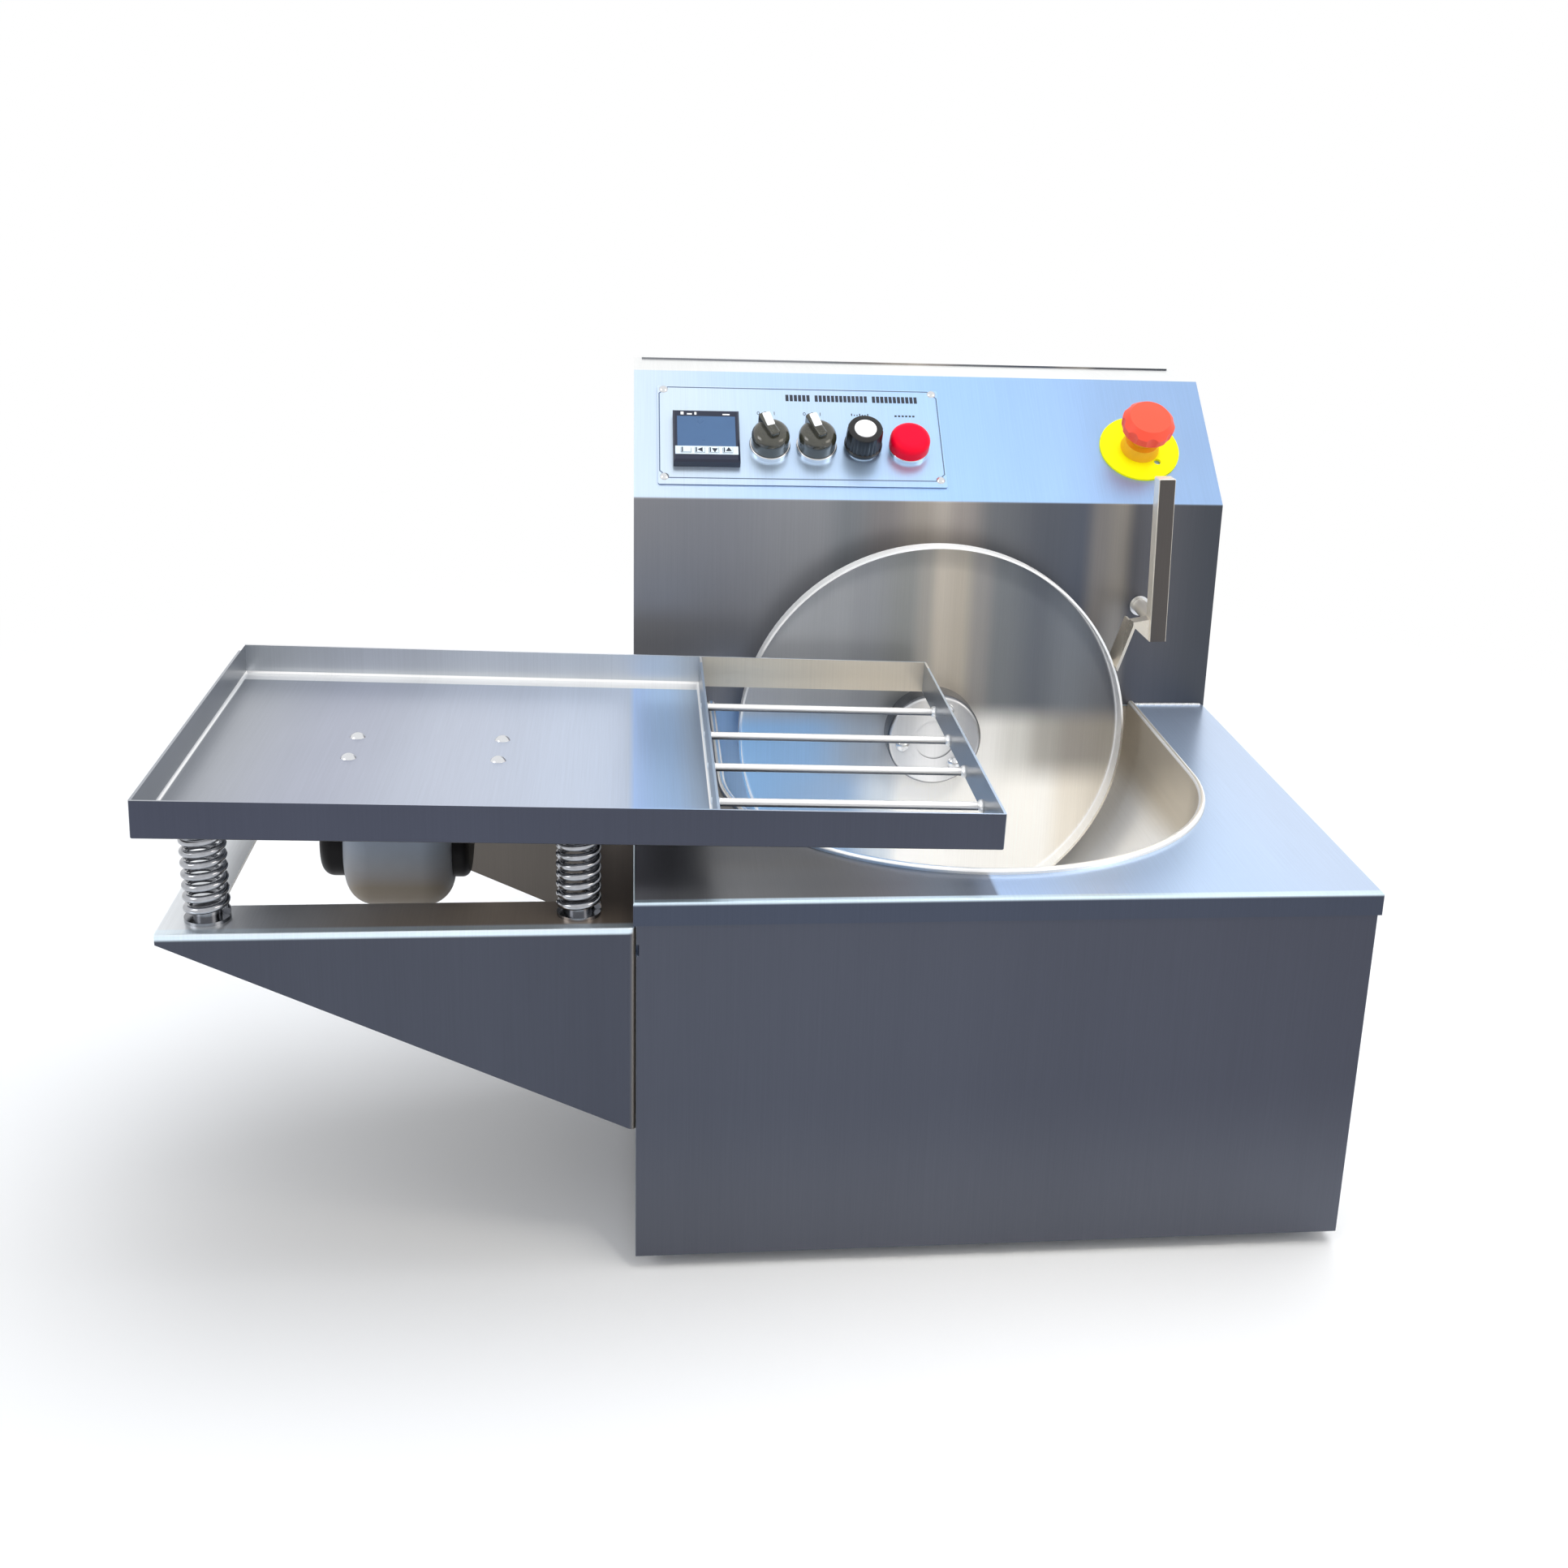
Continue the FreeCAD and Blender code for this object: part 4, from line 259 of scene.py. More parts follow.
# %% Soft lamps
def soft_lamp(name, position, target, size, watts, colour="ffffff", mirrored=True, spread=180):
    """Large square lamp at position that faces target."""
    data = bpy.data.lights.new(name, "AREA")
    data.shape = "SQUARE"
    data.size = size
    data.energy = watts
    data.spread = math.radians(spread)
    data.color = linear(colour)[:3]
    lamp = bpy.data.objects.new(name, data)
    way = (Vector(target) - Vector(position)).normalized()
    lamp.matrix_world = Matrix.Translation(position) @ way.to_track_quat("-Z", "Y").to_matrix().to_4x4()
    lamp.visible_glossy = mirrored
    bpy.context.scene.collection.objects.link(lamp)


soft_lamp("lamp_above", (0.5, 0.3, 2.6), (0, 0, 0.3), size=2.0, watts=40, colour="f8fbff", mirrored=False)
soft_lamp("lamp_left", (-2.4, -1.2, 1.8), (0, 0, 0.2), size=1.2, watts=14)
soft_lamp("lamp_right", (2.2, -1.6, 1.5), (0.1, 0, 0.2), size=1.2, watts=10, colour="fff6ea")
soft_lamp("lamp_bowl", (0.3, -0.7, 1.15), (0.15, 0.0, 0.15), size=0.3, watts=0.5, colour="fffaf2",
          mirrored=False, spread=40)
print("four soft lamps")

# %% [markdown]
# ## Stainless sheet
# The body is satin stainless steel, grade 304, ground with a belt, so it has fine parallel lines
# and a soft, stretched mirror image. In a workshop, a sheet that looks up mirrors the bright
# ceiling and reads pale blue, one that looks forward mirrors the dim room and reads slate, and a
# small fold between the two catches a bright line. A plain studio has no dim room, so these are
# painted into the colour: the recipe takes one painted reflection tone for each way a face can
# look, paints the folds' bright line as a highlight, and a tone may drift along the sheet.

# %% Tones by facing
# How far a face's normal has to turn before a painted reflection tone starts, and before it is full.
LOOKS_UP = (0.3, 0.74)
LIES_FLAT = (0.84, 0.96)
LOOKS_DOWN = (-0.3, -0.74)
LOOKS_FORWARD = (-0.55, -0.97)
LOOKS_BACK = (0.55, 0.97)
# IS_A_FOLD and BROW_FULL place the painted highlight on folds and along front edges.
IS_A_FOLD = (0.16, 0.34)
BROW_FULL = 0.6       # share of a brow's depth within which it has its full tone


def drift_along(tree, coordinate, stops):
    """Colour that drifts along one coordinate; stops are (millimetres from the zero, hex)."""
    low, high = stops[0][0], stops[-1][0]
    along = rescale(tree, coordinate, low * MM, high * MM)
    ramp = add(tree, "ShaderNodeValToRGB", {0: along})
    ramp.color_ramp.interpolation = "EASE"
    points = ramp.color_ramp.elements
    for place_mm, code in stops[1:-1]:
        points.new((place_mm - low) / (high - low)).color = linear(code)
    points[0].color = linear(stops[0][1])
    points[-1].color = linear(stops[-1][1])
    return ramp.outputs["Color"]


def behind_front(millimetres):
    return BODY_FRONT + millimetres * MM


def fold_of(tree, normal, upward):
    """How much a face looks both sideways and up, as a fold's outside does."""
    sideways = add(tree, "ShaderNodeVectorMath", {0: normal, 1: (1, 1, 0)}, operation="MULTIPLY")
    sideways = add(tree, "ShaderNodeVectorMath", {0: sideways.outputs[0]}, operation="LENGTH")
    return combine(tree, "MULTIPLY", sideways.outputs["Value"], upward)


print("a face looks up from a normal of", LOOKS_UP[0], "and fully from", LOOKS_UP[1])

# %% [markdown]
# ## Grinding
# The belt leaves parallel lines about 0.2 mm apart on the real sheet. They are drawn about 0.8 mm
# apart, so that they still show. Wider streaks run the same way, and hands and cloths leave faint
# smudges that change the gloss. All three are noise on Object coordinates, drawn out along the
# sheet where the belt ran.

# %% Grinding lines, streaks and smudges
LINE_SPACING = 0.8 * MM
LINE_LENGTH = 60 * MM
LINE_DEPTH = 0.2 * MM
LINE_CONTRAST = 0.04
STREAK_WIDTH = 70 * MM
STREAKS_PER_METRE = 1.2
STREAK_GAIN = 1.5
SMUDGES_PER_METRE = 14.0
SMUDGE_GLOSS = 0.03
NOISE_RANGE = (0.2, 0.8)    # what the noise mostly keeps to


def grind(tree, shader, place, colour, roughness, across, streak, line):
    """Wire a colour to the shader through the marks of the belt, with its roughness and bump."""
    def drawn_out(narrow, long, detail):
        scale = (long, narrow, long) if across == "Y" else (narrow, long, long)
        mapping = add(tree, "ShaderNodeMapping", {"Vector": place, "Scale": scale})
        return noise(tree, mapping.outputs[0], 1.0, detail)

    lines = drawn_out(1 / LINE_SPACING, 1 / LINE_LENGTH, detail=2.0)
    streaks = drawn_out(1 / STREAK_WIDTH, STREAKS_PER_METRE, detail=1.5)
    smudge = noise(tree, place, SMUDGES_PER_METRE, detail=1.5)
    drift = rescale(tree, streaks, *NOISE_RANGE, 1 - STREAK_GAIN * streak, 1 + STREAK_GAIN * streak)
    grain = rescale(tree, lines, *NOISE_RANGE, 1 - LINE_CONTRAST, 1 + LINE_CONTRAST)
    shade = combine(tree, "MULTIPLY", drift, grain)
    shaded = add(tree, "ShaderNodeVectorMath", {0: colour, "Scale": shade}, operation="SCALE")
    rough = rescale(tree, smudge, 0.1, 0.9, roughness - SMUDGE_GLOSS, roughness + SMUDGE_GLOSS)
    bump = add(tree, "ShaderNodeBump", {"Strength": line, "Distance": LINE_DEPTH, "Height": lines})
    tree.links.new(shaded.outputs[0], shader.inputs["Base Color"])
    tree.links.new(rough, shader.inputs["Roughness"])
    tree.links.new(bump.outputs[0], shader.inputs["Normal"])


print("grinding lines", round(LINE_SPACING / MM, 1), "mm apart")

# %% [markdown]
# ## The steel recipe
# The recipe puts the two together. It starts from the painted reflection tone of the faces that
# look forward, lets it change behind a given depth or below a given height, and then lays the
# painted tones of the other ways, and the painted highlights of folds and edges, over it, so that
# rounded edges pass softly from one to the next.


# %% Steel with painted reflections
def steel_with_painted_reflections(name, up, front, side, down=None, rear=None, level=None, glint=None, brow=0,
                behind=None, below=None, foot=None, band=None, roughness=0.3, metallic=0.8,
                across="X", streak=0.05, line=0.05):
    """Ground stainless painted with one reflection tone for each way a face can look.

    A tone is a hex colour, or a list of stops along X from the body's left side. rear, down and
    level are painted reflection and shade tones for faces that look back, look down and lie flat.
    glint is a painted highlight on a fold beside the top, and brow is how far it spreads back from
    the front edge. behind is (mm behind the body's front, tone), a painted reflection for faces
    that look forward from further back. below is (from mm above the floor, to mm, tone), the
    painted tone that forward faces fade to, and foot is the same again for their lowest part. band
    is (mm behind the front, to mm, hex), a painted highlight stripe on faces that look up."""
    material, tree, shader = new_material(name)
    place = add(tree, "ShaderNodeTexCoord").outputs
    facing = add(tree, "ShaderNodeSeparateXYZ", {0: place["Normal"]}).outputs
    spot = add(tree, "ShaderNodeSeparateXYZ", {0: place["Object"]}).outputs
    along = combine(tree, "ADD", spot["X"], -BODY_LEFT)

    def tone(value):
        return drift_along(tree, along, value) if isinstance(value, list) else linear(value)

    def turned(axis, limits):
        return smooth(tree, facing[axis], *limits)

    # painted reflection tone of forward faces, changed behind a depth and towards the floor
    front_tone = tone(front)
    if behind:
        edge = behind_front(behind[0])
        front_tone = blend(tree, smooth(tree, spot["Y"], edge - 1 * MM, edge), front_tone, tone(behind[1]))
    for fade in filter(None, (below, foot)):
        lower = smooth(tree, spot["Z"], fade[0] * MM, fade[1] * MM)
        front_tone = blend(tree, lower, front_tone, tone(fade[2]))
    up_tone = tone(up)
    # painted highlight spreading back from the folded front edge
    if brow:
        rim = smooth(tree, spot["Y"], behind_front(brow), behind_front(BROW_FULL * brow))
        up_tone = blend(tree, rim, up_tone, linear(glint))
    # painted highlight stripe on faces that look up
    if band:
        near = smooth(tree, spot["Y"], behind_front(band[0] - 2), behind_front(band[0]))
        far = smooth(tree, spot["Y"], behind_front(band[1] + 1), behind_front(band[1]))
        up_tone = blend(tree, combine(tree, "MULTIPLY", near, far), up_tone, linear(band[2]))
    # painted reflection tone of faces that lie flat
    if level:
        up_tone = blend(tree, turned("Z", LIES_FLAT), up_tone, tone(level))
    # painted reflection tones of faces that look sideways, forward and up
    colour = blend(tree, turned("Y", LOOKS_FORWARD), tone(side), front_tone)
    colour = blend(tree, turned("Z", LOOKS_UP), colour, up_tone)
    # painted reflection and shade tones of faces that look back and down
    if rear:
        colour = blend(tree, turned("Y", LOOKS_BACK), colour, linear(rear))
    if down:
        colour = blend(tree, turned("Z", LOOKS_DOWN), colour, tone(down))
    # painted highlight on folds beside the top
    if glint:
        fold = fold_of(tree, place["Normal"], facing["Z"])
        colour = blend(tree, smooth(tree, fold, *IS_A_FOLD), colour, linear(glint))
    grind(tree, shader, place["Object"], colour, roughness, across, streak, line)
    shader.inputs["Metallic"].default_value = metallic
    return material


print("steel recipe ready")

# %% [markdown]
# ## Painted tones of the sheets
# The painted reflections, shade and highlights differ by piece. The hood's upright wall has a
# warm, soft painted reflection streak above the wheel. The deck is painted darker under the
# table, as painted shade, and paler to the right, away from it. The table's floor has painted
# reflection tones that turn from grey to blue along its length. The bowl is polished, and it is
# painted brighter than the sheet, as painted light. The wheel is polished too, with painted
# reflections and a bright painted lower part, and its narrow rim, which looks outwards, is
# painted white as a highlight. Each list runs from left to right, in millimetres from the body's
# left side.

# %% Tones from left to right
# Painted reflection tones: SLATE for faces that look sideways, the lists for the pieces they name. DECK also holds
# painted shade under the table, BOWL painted light, and WHEEL_LOW, WHEEL_FOOT and HUB painted highlights.
SLATE = "8b9099"
WALL = [(0, "8b8c91"), (60, "86888f"), (130, "8e9095"), (154, "7c8085"), (181, "827f80"),
        (208, "9b958e"), (222, "aca59e"), (235, "98928e"), (262, "6a6d72"), (303, "565a63"),
        (326, "565b66"), (340, "7d7a79"), (356, "918d88"), (368, "5c5d63"), (430, "454951")]
WHEEL = [(74, "b8bcc4"), (110, "b2b5ba"), (141, "a6a9ae"), (165, "979a9f"), (195, "8b8d8c"),
         (207, "9c9994"), (218, "bcb4a8"), (232, "b2aa9e"), (246, "918f8d"), (262, "767a7e"),
         (290, "656a72"), (315, "757a81"), (356, "6c6e74")]
WHEEL_LOW = [(74, "8ebae8"), (120, "8eb4de"), (165, "96a3b4"), (205, "cccdce"), (225, "f4f2ec"),
             (255, "f4f3f0"), (280, "d6d5d0"), (300, "b0ada7"), (321, "9e9992"), (356, "a09a90")]
WHEEL_FOOT = [(74, "8ebae8"), (150, "96b2d4"), (182, "d4dee8"), (200, "fffefb"), (300, "fffcf5"),
              (321, "f0e8da"), (356, "d6cdbe")]
SLOPE = [(0, "d6e8fd"), (110, "bbd7fa"), (240, "a1c5f1"), (430, "98b6de")]
DECK = [(0, "b4b6c2"), (25, "a2a4ac"), (50, "7e7e7f"), (110, "6f6f71"), (180, "767d88"),
        (203.5, "808a9b"), (205.5, "bed6f8"), (330, "bfd6f4"), (430, "c6d7f0")]
PAN = [(-262, "a6aab1"), (-180, "a8adbd"), (-120, "b6bdcd"), (-2, "c3cfe3"), (0, "b0cefa"),
       (20, "b4d4fa"), (44, "b8cbe0"), (50, "c9d4e4"), (205, "d4e2f2")]
PAN_WALL = [(-262, "c4c9cf"), (44, "ccd0d4"), (50, "e0dacc"), (205, "ded5c6")]
SKIRT = [(-262, "484c5b"), (205, "464a57")]
FLANGE = [(-254, "eef2f6"), (-200, "d2d4d8"), (-120, "c6b8aa"), (0, "a8988a")]
BOWL = [(54, "9ec4ef"), (130, "9dbde2"), (205, "e0e1e2"), (245, "fffdf8"), (320, "fffaf0"),
        (350, "e4dcd0"), (376, "ccc6ba")]
BOWL_WALL = [(54, "a0c4ee"), (150, "9db8da"), (205, "dad8d4"), (320, "f6f0e6"), (376, "c8bfb1")]
BOWL_SIDE = [(54, "b4d2f8"), (215, "f0e8da"), (330, "f0e8da"), (376, "ccc3b4")]
HUB = [(188, "c9ccd0"), (214, "f2f2f2"), (242, "b0b1b4")]
PLATE = [(17, "deefff"), (120, "cbe3ff"), (226, "b4d6ff")]
print("the wall's tone has", len(WALL), "stops over", WALL[-1][0], "mm")

# %% [markdown]
# ## Finishes of the sheets
# Each sheet takes its painted tones, and a few take more. A front edge that was folded over gets a
# painted glint and a painted pale highlight line just below it. What stands at the back of the
# table or of the body mirrors something else than what stands at its front, so a depth divides
# the two painted reflection tones. The table and the bracket get a dark painted shade tone on
# faces that look down, and the table a painted highlight stripe near the foot of its back wall.

# %% Steel finishes with painted reflections
# Tops of the deck and the bracket; a pale painted highlight stripe runs just under each.
DECK_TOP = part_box("deck")[1].z / MM
FLANGE_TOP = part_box("table_bracket")[1].z / MM
# Depths, in mm behind the body's front, behind which forward faces take another painted reflection tone.
MID_BODY = 300
MID_TABLE = 140
WHEEL_DISC = 314

# Each tone below is a painted reflection. glint, brow, band and the pale below stripes of the deck and the bracket
# are painted highlights, and the dark down tones of the table and the bracket are painted shade.
body_sheet = steel_with_painted_reflections("satin_304_body", "c6d8f0", [(0, "4d515d"), (430, "474a56")], SLATE,
                         behind=(MID_BODY, "cfd0d0"), below=(120, 20, "595c66"), streak=0.025)
deck_sheet = steel_with_painted_reflections("satin_304_deck", DECK, [(0, "454c5c"), (430, "424857")], SLATE,
                         glint="dcf0fd", brow=5, below=(DECK_TOP - 2.5, DECK_TOP - 0.5, "dff1ff"),
                         streak=0.025)
side_sheet = steel_with_painted_reflections("satin_304_sides", "c2d8f8", "565b67", SLATE, across="Y", streak=0.04)
hood_sheet = steel_with_painted_reflections("satin_304_hood", SLOPE, WALL, SLATE, level="f1f2f1", roughness=0.36,
                         metallic=0.7, streak=0.04)
bowl_sheet = steel_with_painted_reflections("polished_304_bowl", BOWL, BOWL_WALL, BOWL_SIDE, glint="ffffff", metallic=0.6)
# The wheel's lower part and foot are painted reflections and highlights, and its rim is painted white.
wheel_sheet = steel_with_painted_reflections("polished_304_wheel", "fbfbfa", "ffffff", "ffffff", down="f4f4f2",
                          behind=(WHEEL_DISC, WHEEL), below=(250, 228, WHEEL_LOW),
                          foot=(208, 178, WHEEL_FOOT), roughness=0.38, metallic=0.5)
hub_steel = steel_with_painted_reflections("turned_stainless_hub", "787a7f", HUB, "54565b", down="84868b",
                        roughness=0.2, metallic=0.7)
table_sheet = steel_with_painted_reflections("satin_304_table", PAN, SKIRT, "90949a", down="3c3d42", glint="ffffff",
                          behind=(MID_TABLE, PAN_WALL), band=(279, 292, "ffffff"))
bracket_plate = steel_with_painted_reflections("satin_304_bracket", FLANGE, "484c58", "9b958c", down="5b5752",
                            rear=SLATE, glint="eaf6ff", brow=8, behind=(MID_TABLE, "67625d"),
                            below=(FLANGE_TOP - 4.5, FLANGE_TOP - 2.5, "e2f3ff"))
# The lever, the blade and the plate take painted reflection tones too; the lever's side is painted bright and its
# front dark.
lever_bar = steel_with_painted_reflections("satin_304_lever", "e8e2d8", "4d4947", "fff8ea", metallic=0.5)
scraper_sheet = steel_with_painted_reflections("satin_304_scraper", "f4eee2", "d8d0c2", "ece4d4", roughness=0.28)
control_sheet = steel_with_painted_reflections("fine_satin_control_plate", PLATE, "66799a", "6e80a0", streak=0.03, line=0.03)
print("steel finishes:", len(bpy.data.materials) - 1)

# %% [markdown]
# ## Plastics, rubber, paint and bright metal
# The knobs are moulded phenolic with a faint orange-peel skin, the stop button is ABS, the feet
# are rubber, the gearbox is cast and painted, the motor is enamelled and the fasteners are bright
# stainless. These recipes share one builder: a base colour that drifts a little, a roughness that
# drifts with it, and a fine grain. The rods and the cast housing also get a painted shade tone
# on the faces that look down.

# %% Moulded and painted recipe
GLOSS_DRIFT = 0.07
GRAIN_DEPTH = 0.1 * MM
# How far a face has to look down before its painted shade tone starts, and before it is full.
UNDERSIDE = (0.25, -0.45)


def moulded(name, colour, roughness=0.45, grain=0.4, bump=0.08, drift=0.12, metallic=0.0,
            coat=0.0, coarse=9, under=None, specular=0.5):
    """Surface with a slight drift of colour and a fine grain.

    grain and coarse are the sizes, in mm, of the grain and of the patches between which the
    colour drifts. under is a painted shade tone for the faces that look down."""
    material, tree, shader = new_material(name)
    place = add(tree, "ShaderNodeTexCoord").outputs
    cloud = noise(tree, place["Object"], 1 / (coarse * MM), detail=3.0)
    base = linear(colour)
    low = [c * (1 - drift) for c in base[:3]] + [1]
    high = [min(1, c * (1 + drift)) for c in base[:3]] + [1]
    tone = blend(tree, cloud, low, high)
    # painted shade on faces that look down
    if under:
        facing = add(tree, "ShaderNodeSeparateXYZ", {0: place["Normal"]})
        tone = blend(tree, rescale(tree, facing.outputs["Z"], *UNDERSIDE), tone, linear(under))
    rough = rescale(tree, cloud, 0.0, 1.0, roughness - GLOSS_DRIFT, roughness + GLOSS_DRIFT)
    skin = noise(tree, place["Object"], 1 / (grain * MM), detail=2.0)
    relief = add(tree, "ShaderNodeBump", {"Strength": bump, "Distance": GRAIN_DEPTH, "Height": skin})
    tree.links.new(tone, shader.inputs["Base Color"])
    tree.links.new(rough, shader.inputs["Roughness"])
    tree.links.new(relief.outputs[0], shader.inputs["Normal"])
    shader.inputs["Metallic"].default_value = metallic
    shader.inputs["Coat Weight"].default_value = coat
    shader.inputs["Specular IOR Level"].default_value = specular
    return material


spring_cup = moulded("turned_steel_cup", "8d8f94", 0.2, metallic=1.0, drift=0.1)
bright_fastener = moulded("bright_stainless_fastener", "dfe1e4", 0.2, metallic=1.0, drift=0.05)
# The rods and the cast housing get a painted shade tone under them.
rod_steel = moulded("drawn_stainless_rod", "fafbfc", 0.22, metallic=0.7, drift=0.05, under="4c535f")
weld_bead = moulded("stainless_weld_bead", "f0f2f6", 0.3, grain=1.4, bump=0.4, metallic=0.7)
spring_wire = moulded("zinc_plated_spring_wire", "a9abb0", 0.14, metallic=1.0, drift=0.35, coarse=5)
black_moulding = moulded("black_phenolic_moulding", "101012", 0.34, coat=0.15)
knob_phenolic = moulded("olive_black_phenolic_knob", "35352b", 0.16, coat=1.0, drift=0.5, coarse=6)
white_insert = moulded("white_abs_insert", "f4f5f6", 0.4, drift=0.03)
controller_abs = moulded("navy_abs_case", "131c33", 0.36, coat=0.15)
screen_tint = moulded("slate_tinted_window", "3f6088", 0.3, bump=0.0, drift=0.05)
white_key = moulded("white_abs_key", "d6e4ee", 0.5, drift=0.04)
border_lacquer = moulded("engraved_line_lacquer", "4f6384", 0.5, drift=0.06)
print_ink = moulded("dark_screen_print_ink", "2b303b", 0.6, drift=0.1)
stop_red = moulded("orange_red_abs_mushroom", "fb5036", 0.42, drift=0.05, coarse=14)
lamp_red = moulded("red_polycarbonate_lens", "f8002e", 0.4, drift=0.04, specular=0.15)
stop_yellow = moulded("yellow_abs_disc", "fffc00", 0.55, specular=0.2, drift=0.02)
neck_amber = moulded("amber_abs_collar", "f0b41c", 0.45, drift=0.1)
foot_rubber = moulded("black_moulded_rubber", "1b1b1c", 0.75, bump=0.2)
cast_alloy = moulded("painted_cast_alloy", "a2aebf", 0.5, grain=0.8, bump=0.25, drift=0.08,
                     under="7d7365")
cap_paint = moulded("dark_pressed_cap_paint", "0c0a0d", 0.42, specular=0.15)
motor_enamel = moulded("blue_grey_motor_enamel", "2c3a4c", 0.36, coat=0.4)
ground_steel = moulded("ground_rotor_steel", "8b8d92", 0.3, metallic=1.0)
heater_rubber = moulded("orange_silicone_mat", "b85a2a", 0.6)
felt = moulded("pale_insulation_felt", "cfccc2", 0.95, grain=1.2, bump=0.6)
supply_case = moulded("punched_alloy_case", "aeb1b5", 0.4, metallic=1.0)
print("all finishes:", len(bpy.data.materials))

# %% [markdown]
# ## Dressing the solids
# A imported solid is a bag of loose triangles. Flat sheets can stay as they are. A round or folded
# piece looks better from a welded copy: its doubles are merged, its flat parts joined into single
# faces and its sharp corners kept.

# %% Welding helper
SAME_POINT = 0.002 * MM
SAME_PLANE = math.radians(0.4)
body_of_node = {n: b for b, members in record["behaviour"]["bodies"].items() for n in members}


def finish_piece(bm, name, material, body, smooth_below=35):
    """Turn a bmesh into a piece, smooth except at its sharp edges, that rides on a body if given."""
    for face in bm.faces:
        face.smooth = True
    for edge in bm.edges:
        edge.smooth = len(edge.link_faces) == 2 and edge.calc_face_angle(0) < math.radians(smooth_below)
    mesh = bpy.data.meshes.new(name)
    bm.to_mesh(mesh)
    bm.free()
    mesh.materials.append(material)
    piece = bpy.data.objects.new(name, mesh)
    bpy.context.scene.collection.objects.link(piece)
    if body:
        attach(piece, body)
    return piece


def welded_copy(node, material, rides=True):
    """Welded copy of a node that stands for it, riding on the node's body."""
    bm = bmesh.new()
    bm.from_mesh(frame["nodes"][node].data)
    bmesh.ops.remove_doubles(bm, verts=bm.verts, dist=SAME_POINT)
    bmesh.ops.dissolve_limit(bm, angle_limit=SAME_PLANE, verts=bm.verts, edges=bm.edges)
    body = body_of_node[node] if rides else None
    piece = finish_piece(bm, node + "_dressed", material, body)
    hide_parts(node)
    return piece


def paint(node, material):
    """Give a node that stays as it is its finish."""
    mesh = frame["nodes"][node].data
    mesh.materials.clear()
    mesh.materials.append(material)


# %% [markdown]
# ## Sheets and plates
# The sheets with folds, rims and rolled edges are welded, so that light runs round their bends.
# The two side panels, the rear cover and the base are flat, so they are only painted.

# %% Sheets and plates
for node, finish in (("deck", deck_sheet), ("hood_skin", hood_sheet), ("front_panel", body_sheet),
                     ("bowl", bowl_sheet), ("wheel", wheel_sheet), ("wheel_hub", hub_steel),
                     ("tray_pan", table_sheet), ("table_bracket", bracket_plate),
                     ("scraper_lever", lever_bar), ("scraper_blade", scraper_sheet),
                     ("control_plate", control_sheet)):
    welded_copy(node, finish)
for node, finish in (("left_side_panel", side_sheet), ("right_side_panel", side_sheet),
                     ("rear_cover", body_sheet), ("base_plate", body_sheet)):
    paint(node, finish)
print("sheets dressed")

# %% [markdown]
# ## Round and moulded pieces
# Turned, cast and moulded pieces are grouped by what they are made of. Those that show are
# welded, so that their round sides shade smoothly. Those inside the body, and the small flat keys
# and window, are painted as they are.

# %% Round and moulded pieces
keys = ["controller_key_%d" % n for n in range(1, 5)]
welded = (
    (bright_fastener, ("upper_spring_seats", "hub_screws", "vibrator_screws", "bracket_bolts",
                       "scraper_stud", "wheel_shaft", "seal_housing", "panel_collars",
                       "control_plate_screws", "cover_screws")),
    (spring_cup, ("lower_spring_seats",)),
    (rod_steel, ("tray_grid_rods",)),
    (cast_alloy, ("vibrator_housing", "gearbox")),
    (cap_paint, ("vibrator_end_caps",)),
    (motor_enamel, ("drive_motor",)),
    (knob_phenolic, ("heating_knob", "vibration_knob")),
    (lamp_red, ("power_lamp_lens",)),
    (stop_yellow, ("estop_disc",)),
    (neck_amber, ("estop_collar", "estop_stem")),
    (stop_red, ("estop_head",)),
    (controller_abs, ("controller",)),
    (black_moulding, ("cable_gland", "fan_frame", "fan_rotor")),
    (foot_rubber, ("rubber_feet",)))
painted = (
    (foot_rubber, ("shaft_seal",)),
    (heater_rubber, ("heater_mat",)),
    (felt, ("bowl_insulation",)),
    (bright_fastener, ("temperature_probe",)),
    (supply_case, ("power_supply",)),
    (black_moulding, ("switch_bodies",)),
    (screen_tint, ("display_window",)),
    (white_key, keys),
    (ground_steel, ("vibrator_rotor", "eccentric_weights")))
for group, dress in ((welded, welded_copy), (painted, paint)):
    for finish, nodes in group:
        for node in nodes:
            dress(node, finish)
print("moulded pieces dressed")

# %% [markdown]
# ## Springs
# A spring's foot stands on the bracket and its head carries the table, so it shortens and
# stretches as the table moves. Here it is a welded copy that rides on neither, with its place
# baked into its points.

# %% Springs
springs = welded_copy("springs", spring_wire, rides=False)
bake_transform(springs)

# %% [markdown]
# ## Measuring on a slant
# The slope and the table are not level, so a piece on them is placed by how far it lies along
# their own directions. A node's furthest point along a direction gives each face's height.

# %% Reach of a node, and places on the slope and the table
def reach(node, direction):
    """Furthest point of a node along a direction."""
    return max(v.co.dot(direction) for v in frame["nodes"][node].data.vertices)


def on_slope(x, up, out):
    return SLOPE_X * x + SLOPE_UP * up + SLOPE_NORMAL * out


def on_table(along, y, up):
    return TABLE_X * along + TABLE_Y * y + TABLE_UP * up


def middle_x(node):
    low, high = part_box(node)
    return (low.x + high.x) / 2


